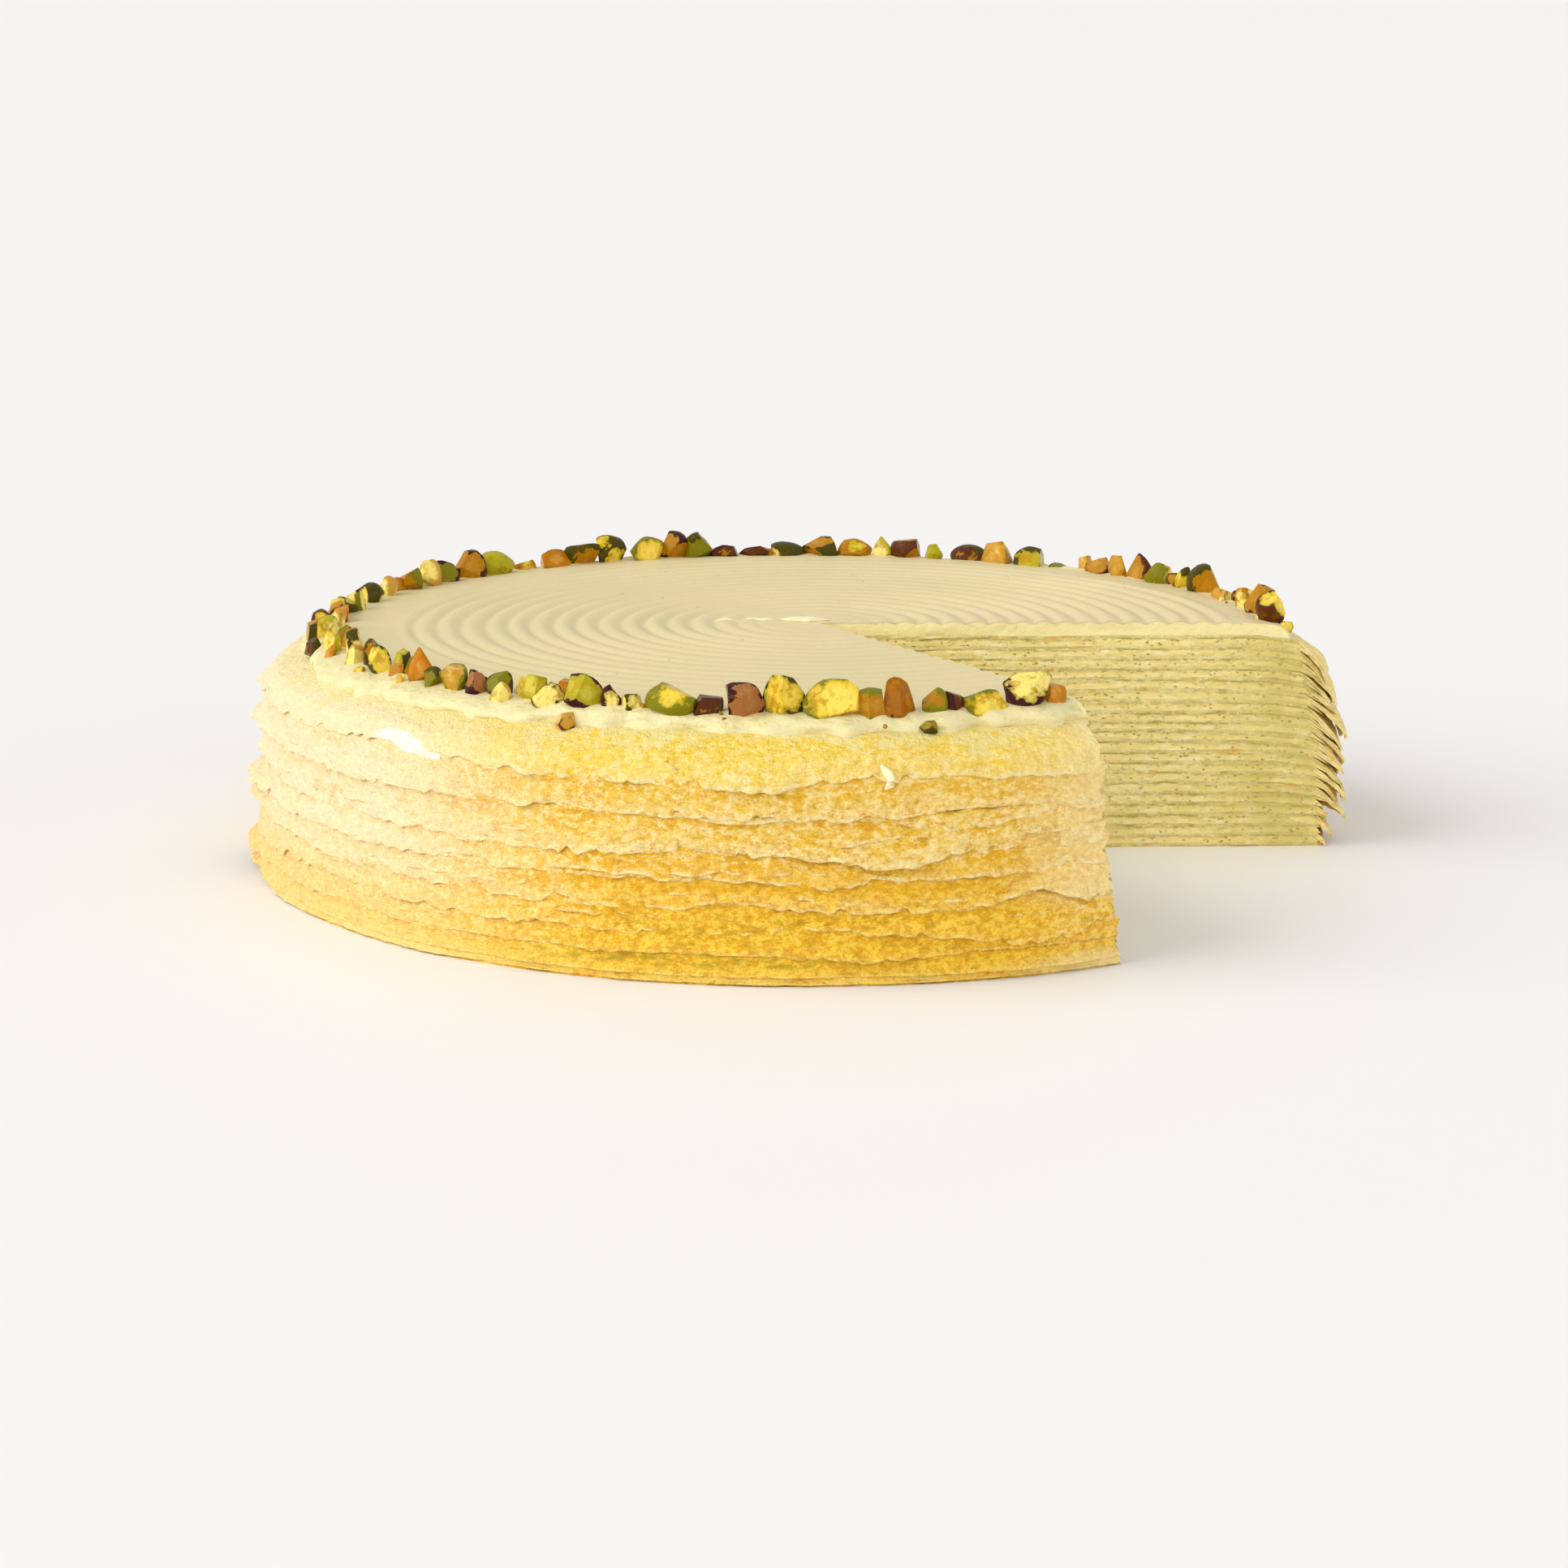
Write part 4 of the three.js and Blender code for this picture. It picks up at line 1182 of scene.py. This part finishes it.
        # Painted light: the shaded hollows between the torn ends at the near cut are lightened
        light_in_hollows = self.across.ramp(52, 55, 0, 0.75) * self.deep.within(-98.5, -96.5, -88, -84)
        # Painted glow: the thin loose skirts by the far cut are lightened as if lit through
        fringe = self.across.ramp(98, 108) * self.blotches.ramp(0.35, 0.6, 0.6, 0.95)
        fringe = fringe * self.deep.ramp(10, 35, 1, 0.15)
        lips = self.zone.ramp(0.84, 0.98) * self.sponge.ramp(0.4, 0.6, 0.1, 0.85)
        lips = lips * self.height.ramp(4, 22, 0.3, 1)
        return self.coated(
            colour, (creamy.ramp(0.49, 0.6, 0, 0.75), CREAM_SMEARED), (olive, CREPE_GAP_SHADOW),
            (near_end, CREPE_LIP), (light_in_hollows, CUT_CREPE_PALE), (fringe, CREPE_FRINGE_GLOW), (lips, CREPE_LIP),
        )

    def cut_edge(self):
        """Where the knife went through: pale, toasted in spots, with a broken painted shadow line under it.
        """
        pale = self.clouds(2.4, 3, 0.6, 0.6).ramp(0.4, 0.62)
        spots = self.clouds(6.5, 3, 0.6, 2.6).ramp(0.57, 0.68, 0, 0.9)
        # Painted shadow: a broken dark line along the bottom of the crepe's cut edge
        line = self.zone.ramp(2.15, 2.75, 1, 0) * self.clouds(3.6, 5, 0.78, 1.2).ramp(0.4, 0.54, 0.15, 1)
        line = line * self.clouds(17, 2, 0.5, 2.2).ramp(0.38, 0.58, 0.3, 1)
        colour = self.mix(pale, CUT_CREPE, CUT_CREPE_PALE)
        return shaded_end(self, self.coated(colour, (spots, CUT_CREPE_BROWNED), (line, CUT_SHADOW_LINE)))


def shaded_end(paint, colour):
    """Painted shade makes the outer end of the far cut face greener and duller, up to where the painted glow
    of the pale fringe begins.
    """
    across = paint.axes()[0]
    shade = across.ramp(82, 104, 0, 0.6) * paint.clouds(9, 3, 0.6, 1.5).ramp(0.35, 0.6, 0.4, 1)
    return paint.coated(colour, (shade, CUT_SHADE), (across.ramp(109.5, 114, 0, 0.7), CREPE_FRINGE_GLOW))


def crepe_material():
    paint = CrepePaint()
    colour = paint.places(paint.lace(paint.ground()))
    colour = paint.mix(paint.zone.ramp(1.2, 1.9), colour, paint.cut_edge())
    relief = paint.clouds(0.8, 3, 0.65) * 0.4 + paint.clouds(1.9, 4, 0.7, 1.3) * 2
    relief = relief + paint.clouds(9, 2, 0.5, 5) * -0.8
    return paint.finish(colour, relief, 0.65, 0.38, 0.1, 0.8, (1.0, 0.8, 0.5))


def cream_material():
    """Pistachio cream in the cut: pale green-yellow, streaked, with dark green specks and small holes.

    The zone goes from 2 to 3 up the cut edge, and painted olive shadow lines lie under the crepe above."""
    paint = Paint("cream_filling")
    drift = paint.clouds(9, 3, 0.6, 2.5).ramp(0.38, 0.62)
    streaks = paint.clouds(3.2, 4, 0.65, 3.5).ramp(0.5, 0.64) * 0.85
    toasted = paint.clouds(8, 4, 0.65, 3.5).ramp(0.6, 0.7) * 0.55
    # Painted shadow: a thin olive line at the top of the cream, under the crepe above
    seam_shadows = paint.attribute("zone").ramp(2.6, 2.95) * paint.clouds(3, 5, 0.75, 1.3).ramp(0.5, 0.6) * 0.85
    bubbles = paint.cells(1.5, 0.8, 1.6).ramp(0.12, 0.26, 1, 0)
    specks = bubbles * paint.clouds(5, 2, 0.5, 1.6).ramp(0.46, 0.58) * 0.7
    colour = paint.coated(
        paint.mix(drift, CREAM_GREEN, CREAM_YELLOW),
        (streaks, CREAM_PALE), (toasted, CUT_CREPE_BROWNED), (seam_shadows, CREAM_SEAM_SHADOW), (specks, CREAM_SPECK),
    )
    relief = paint.clouds(1.3, 4, 0.65, 1.5) + bubbles * -0.6
    return paint.finish(shaded_end(paint, colour), relief, 0.45, 0.5, 0.12, 1, (1.0, 0.9, 0.6))


def top_cream_material():
    """Smooth whipped cream, greenish beige, with fine specks of ground nut. The zone is 1 at its rim."""
    paint = Paint("cream_top")
    zone = paint.attribute("zone")
    drift = paint.clouds(38).ramp(0.36, 0.66)
    specks = paint.cells(2.6).ramp(0.07, 0.14, 1, 0) * paint.clouds(4.2, 1).ramp(0.57, 0.66) * 0.6
    rim = zone.ramp(0.2, 1) * paint.clouds(5, 3, 0.6).ramp(0.3, 0.55, 0.55, 1)
    streaks = paint.clouds(3.4, 5, 0.72, 3.2).ramp(0.54, 0.62) * zone.ramp(0.55, 1, 0, 0.6)
    colour = paint.coated(
        paint.mix(drift, TOP_BEIGE, TOP_GREEN),
        (specks, CREAM_SPECK), (rim, CREAM_RIM), (streaks, CREAM_STREAK), (zone.ramp(1.2, 1.9), TOP_CUT),
    )
    rough = paint.clouds(1.8, 4, 0.65) * zone.ramp(0.4, 1, 0, 4)
    relief = paint.clouds(1.1, 4, 0.6) + paint.clouds(5) + rough
    return paint.finish(colour, relief, 0.12, 0.46, 0.03, 1, (1.0, 0.9, 0.7))


def loose_cream_material():
    """White cream wiped over the side; where the zone is 0 it lies in a crevice and is greener."""
    paint = Paint("cream_loose")
    smeared = paint.clouds(4, 3, 0.6).ramp(0.45, 0.66, 0, 0.5)
    colour = paint.mix(paint.attribute("zone"), CREAM_CREVICE, CREAM_WHITE)
    return paint.finish(paint.mix(smeared, colour, CREAM_SMEARED), paint.clouds(1.5, 4, 0.65), 0.4, 0.45)


def nut_material():
    """Roasted pistachio: pale flesh on the cuts, greener towards its rim, and thin mottled skin round it."""
    paint = Paint("nut_roasted")
    place = {0: paint.attribute("kernel", "Vector")}
    out = paint.signal("ShaderNodeVectorMath", "Value", place, operation="LENGTH")
    skin = paint.attribute("skin", "Color")
    blotch = paint.clouds(2.4, 3, 0.6)
    streaks = paint.clouds(1.3, 4, 0.65, 0.4)
    wander = out + blotch.ramp(0.3, 0.7, -0.14, 0.14)
    bright = paint.attribute("flesh").ramp(0.1, 0.4)
    inner = paint.coated(
        paint.attribute("flesh", "Color"),
        (wander.ramp(0.45, 0.7, 0.55, 0) * bright, NUT_CORE),
        (streaks.ramp(0.5, 0.62) * 0.35 * bright, NUT_GREEN),
        (blotch.ramp(0.54, 0.6) * 0.6, NUT_TOAST),
        (wander.ramp(0.72, 0.86, 0, 0.7) * bright, NUT_GREEN),
        (wander.ramp(0.86, 0.93), skin),
    )
    outer = paint.mix(paint.clouds(2, 3, 0.6).ramp(0.54, 0.66) * 0.5, skin, NUT_BLOOM)
    colour = paint.mix(out.ramp(0.955, 0.985), inner, outer)
    return paint.finish(colour, paint.clouds(0.9, 3, 0.6) + streaks, 0.16, 0.24, shine=0.12)


def build_layers():
    crepe = crepe_material()
    cream = cream_material()
    for index in range(CREPE_COUNT):
        node = f"crepe_{index + 1:02d}"
        body = CREPE_BODY.get(index, PLAIN_BODY)
        make_object(f"dressed_{node}", crepe_shell(index), crepe, [node], body)
    for index in range(CREPE_COUNT - 1):
        node = f"cream_{index + 1:02d}"
        make_object(f"dressed_{node}", cream_shell(index), cream, [node])
    top = ["top_cream"]
    make_object("dressed_top_cream", top_cream_shell(), top_cream_material(), top)
    make_object("loose_cream", loose_cream_shell(), loose_cream_material(), top)


# --- chopped nuts ---


def cut_kernel(kind, chance, fineness=NUT_FINENESS):
    """A kernel of radius 1, cut by planes and scaled so that it is 2 across each way.

    Gives its points, its triangles and where each point was in the whole kernel."""
    work = bmesh.new()
    bmesh.ops.create_icosphere(work, subdivisions=fineness, radius=1)
    chips = [(chance.normal(size=3), chance.uniform(0.52, 0.8)) for _ in range(NUT_CHIPS[kind])]
    for direction, distance in NUT_CUTS[kind] + chips:
        normal = np.array(direction) / np.linalg.norm(direction) + chance.uniform(-0.22, 0.22, 3)
        normal = Vector(normal / np.linalg.norm(normal))
        place = normal * float(distance + chance.uniform(-0.08, 0.08))
        parts = list(work.verts) + list(work.edges) + list(work.faces)
        bmesh.ops.bisect_plane(work, geom=parts, plane_co=place, plane_no=normal, clear_outer=True)
        rim = [edge for edge in work.edges if edge.is_boundary]
        bmesh.ops.contextual_create(work, geom=rim)
    bmesh.ops.triangulate(work, faces=list(work.faces))
    bmesh.ops.recalc_face_normals(work, faces=list(work.faces))
    work.verts.index_update()
    whole = np.array([vertex.co for vertex in work.verts])
    faces = np.array([[vertex.index for vertex in face.verts] for face in work.faces])
    work.free()
    lumps = noise(3 * whole[:, 0] + 40 * chance.random(), 3 * whole[:, 1] + 3 * whole[:, 2], 1.6, 1.6, 71)
    points = whole * (1 + 0.08 * lumps[:, None])
    points[:, :2] *= 1 - NUT_TAPER.get(kind, 0) * (1 + whole[:, 2:]) / 2
    low, high = points.min(axis=0), points.max(axis=0)
    return 2 * (points - low) / (high - low) - 1, faces, whole


def turned(points, tilt, turn):
    rotation = Matrix.Rotation(turn, 3, "Z") @ Matrix.Rotation(tilt, 3, "X")
    return points @ np.array(rotation).T


class NutHeap:
    """Joins pieces into one mesh that keeps the colours of each."""

    def __init__(self):
        self.shell = Shell()
        self.kernel = []
        self.flesh = []
        self.skin = []

    def add(self, points, faces, whole, flesh, skin):
        ids = self.shell.add(points)
        self.shell.add_faces(*ids[faces].T)
        self.kernel.append(whole)
        self.flesh.append(np.tile((*NUT_TONES[flesh], 1), (len(points), 1)))
        self.skin.append(np.tile((*NUT_TONES[skin], 1), (len(points), 1)))

    def add_nut(self, item, nut):
        azimuth_deg, length, height, outwards, flesh, skin, kind = nut
        points, faces, whole = cut_kernel(kind, np.random.default_rng(900 + item))
        depth = min(max(0.9 * length, NUT_DEPTH[0]), NUT_DEPTH[1])
        points = points * np.array([NUT_LENGTHENED * length, depth, height + NUT_SINK]) / 2
        azimuth = math.radians(azimuth_deg)
        turn = azimuth + math.pi / 2 + NUT_TWIST * (draw(item, 2) - 0.5)
        points = turned(points, NUT_TILT * (draw(item, 1) - 0.5), turn)
        seat = NUT_SEAT - RIM_FALL * max(outwards, 0)
        points += round_axis(NUT_RADIUS + outwards, azimuth, seat + (height - NUT_SINK) / 2)
        self.add(points, faces, whole, flesh, skin)

    def add_fallen_nut(self, item, nut):
        azimuth_deg, radius, height, size, flesh, skin = nut
        points, faces, whole = cut_kernel("chunk", np.random.default_rng(900 + item))
        azimuth = math.radians(azimuth_deg)
        points = points * np.array([size, size, 0.8 * size]) / 2
        points = turned(points, NUT_TILT * (draw(item, 1) - 0.5), azimuth)
        self.add(points + round_axis(radius, azimuth, height), faces, whole, flesh, skin)

    def add_crumb(self, item):
        """A small bit of nut on the cream between the pieces."""
        azimuth = azimuth_at(draw(item, 3), TOP_HEIGHT)
        radius = NUT_RADIUS - 4 + 9 * draw(item, 4)
        size = CRUMB_SIZE[0] + (CRUMB_SIZE[1] - CRUMB_SIZE[0]) * draw(item, 5)
        points, faces, whole = cut_kernel("chunk", np.random.default_rng(item), 1)
        height = float(top_height(reach_to(radius, azimuth), azimuth)) + 0.2 * size
        tone = CRUMB_TONES[item % len(CRUMB_TONES)]
        self.add(points * size / 2 + round_axis(radius, azimuth, height), faces, whole, tone, tone)

    def make(self, name, material):
        piece = make_object(name, self.shell, material, ["top_cream"], sharp_deg=NUT_SHARP_DEG)
        kernel = piece.data.attributes.new("kernel", "FLOAT_VECTOR", "POINT")
        kernel.data.foreach_set("vector", np.vstack(self.kernel).ravel())
        for part, colours in (("flesh", self.flesh), ("skin", self.skin)):
            tones = piece.data.attributes.new(part, "FLOAT_COLOR", "POINT")
            tones.data.foreach_set("color", np.vstack(colours).ravel())


def build_nuts():
    heap = NutHeap()
    for item, nut in enumerate(NUTS):
        heap.add_nut(item, nut)
    for item, nut in enumerate(FALLEN_NUTS):
        heap.add_fallen_nut(len(NUTS) + item, nut)
    for item in range(CRUMB_COUNT):
        heap.add_crumb(400 + item)
    heap.make("chopped_nuts", nut_material())


# --- floor, light and camera ---


def add_floor():
    paint = Paint("floor_white")
    mesh = bpy.data.meshes.new("floor")
    signs = [(-1, -1), (1, -1), (1, 1), (-1, 1)]
    corners = [(x * FLOOR_REACH * MM, y * FLOOR_REACH * MM, 0) for x, y in signs]
    mesh.from_pydata(corners, [], [(0, 1, 2, 3)])
    mesh.materials.append(paint.finish(FLOOR_COLOUR, paint.clouds(60, 1), 0.01, 0.6))
    floor = bpy.data.objects.new("floor", mesh)
    bpy.context.scene.collection.objects.link(floor)


def add_light():
    world = bpy.data.worlds.new("studio")
    world.use_nodes = True
    background = world.node_tree.nodes["Background"]
    background.inputs["Color"].default_value = WORLD_COLOUR
    background.inputs["Strength"].default_value = WORLD_STRENGTH
    bpy.context.scene.world = world
    for name, strength, angle_deg, colour, toward in SUNS:
        light = bpy.data.lights.new(name, "SUN")
        light.energy = strength
        light.angle = math.radians(angle_deg)
        light.color = colour
        holder = bpy.data.objects.new(name, light)
        holder.rotation_euler = Vector(toward).to_track_quat("Z", "Y").to_euler()
        bpy.context.scene.collection.objects.link(holder)


def add_camera():
    camera = bpy.data.cameras.new("camera")
    camera.lens = LENS
    camera.sensor_width = SENSOR_WIDTH
    camera.clip_end = VIEW_DISTANCE * MM
    holder = bpy.data.objects.new("camera", camera)
    holder.location = Vector(CAMERA_PLACE) * MM
    holder.rotation_euler = (math.radians(90 - CAMERA_DOWN_DEG), 0, math.radians(CAMERA_TURN_DEG))
    bpy.context.scene.collection.objects.link(holder)
    bpy.context.scene.camera = holder


build_layers()
build_nuts()
add_floor()
add_light()
add_camera()
bpy.context.scene.view_settings.view_transform = "Standard"
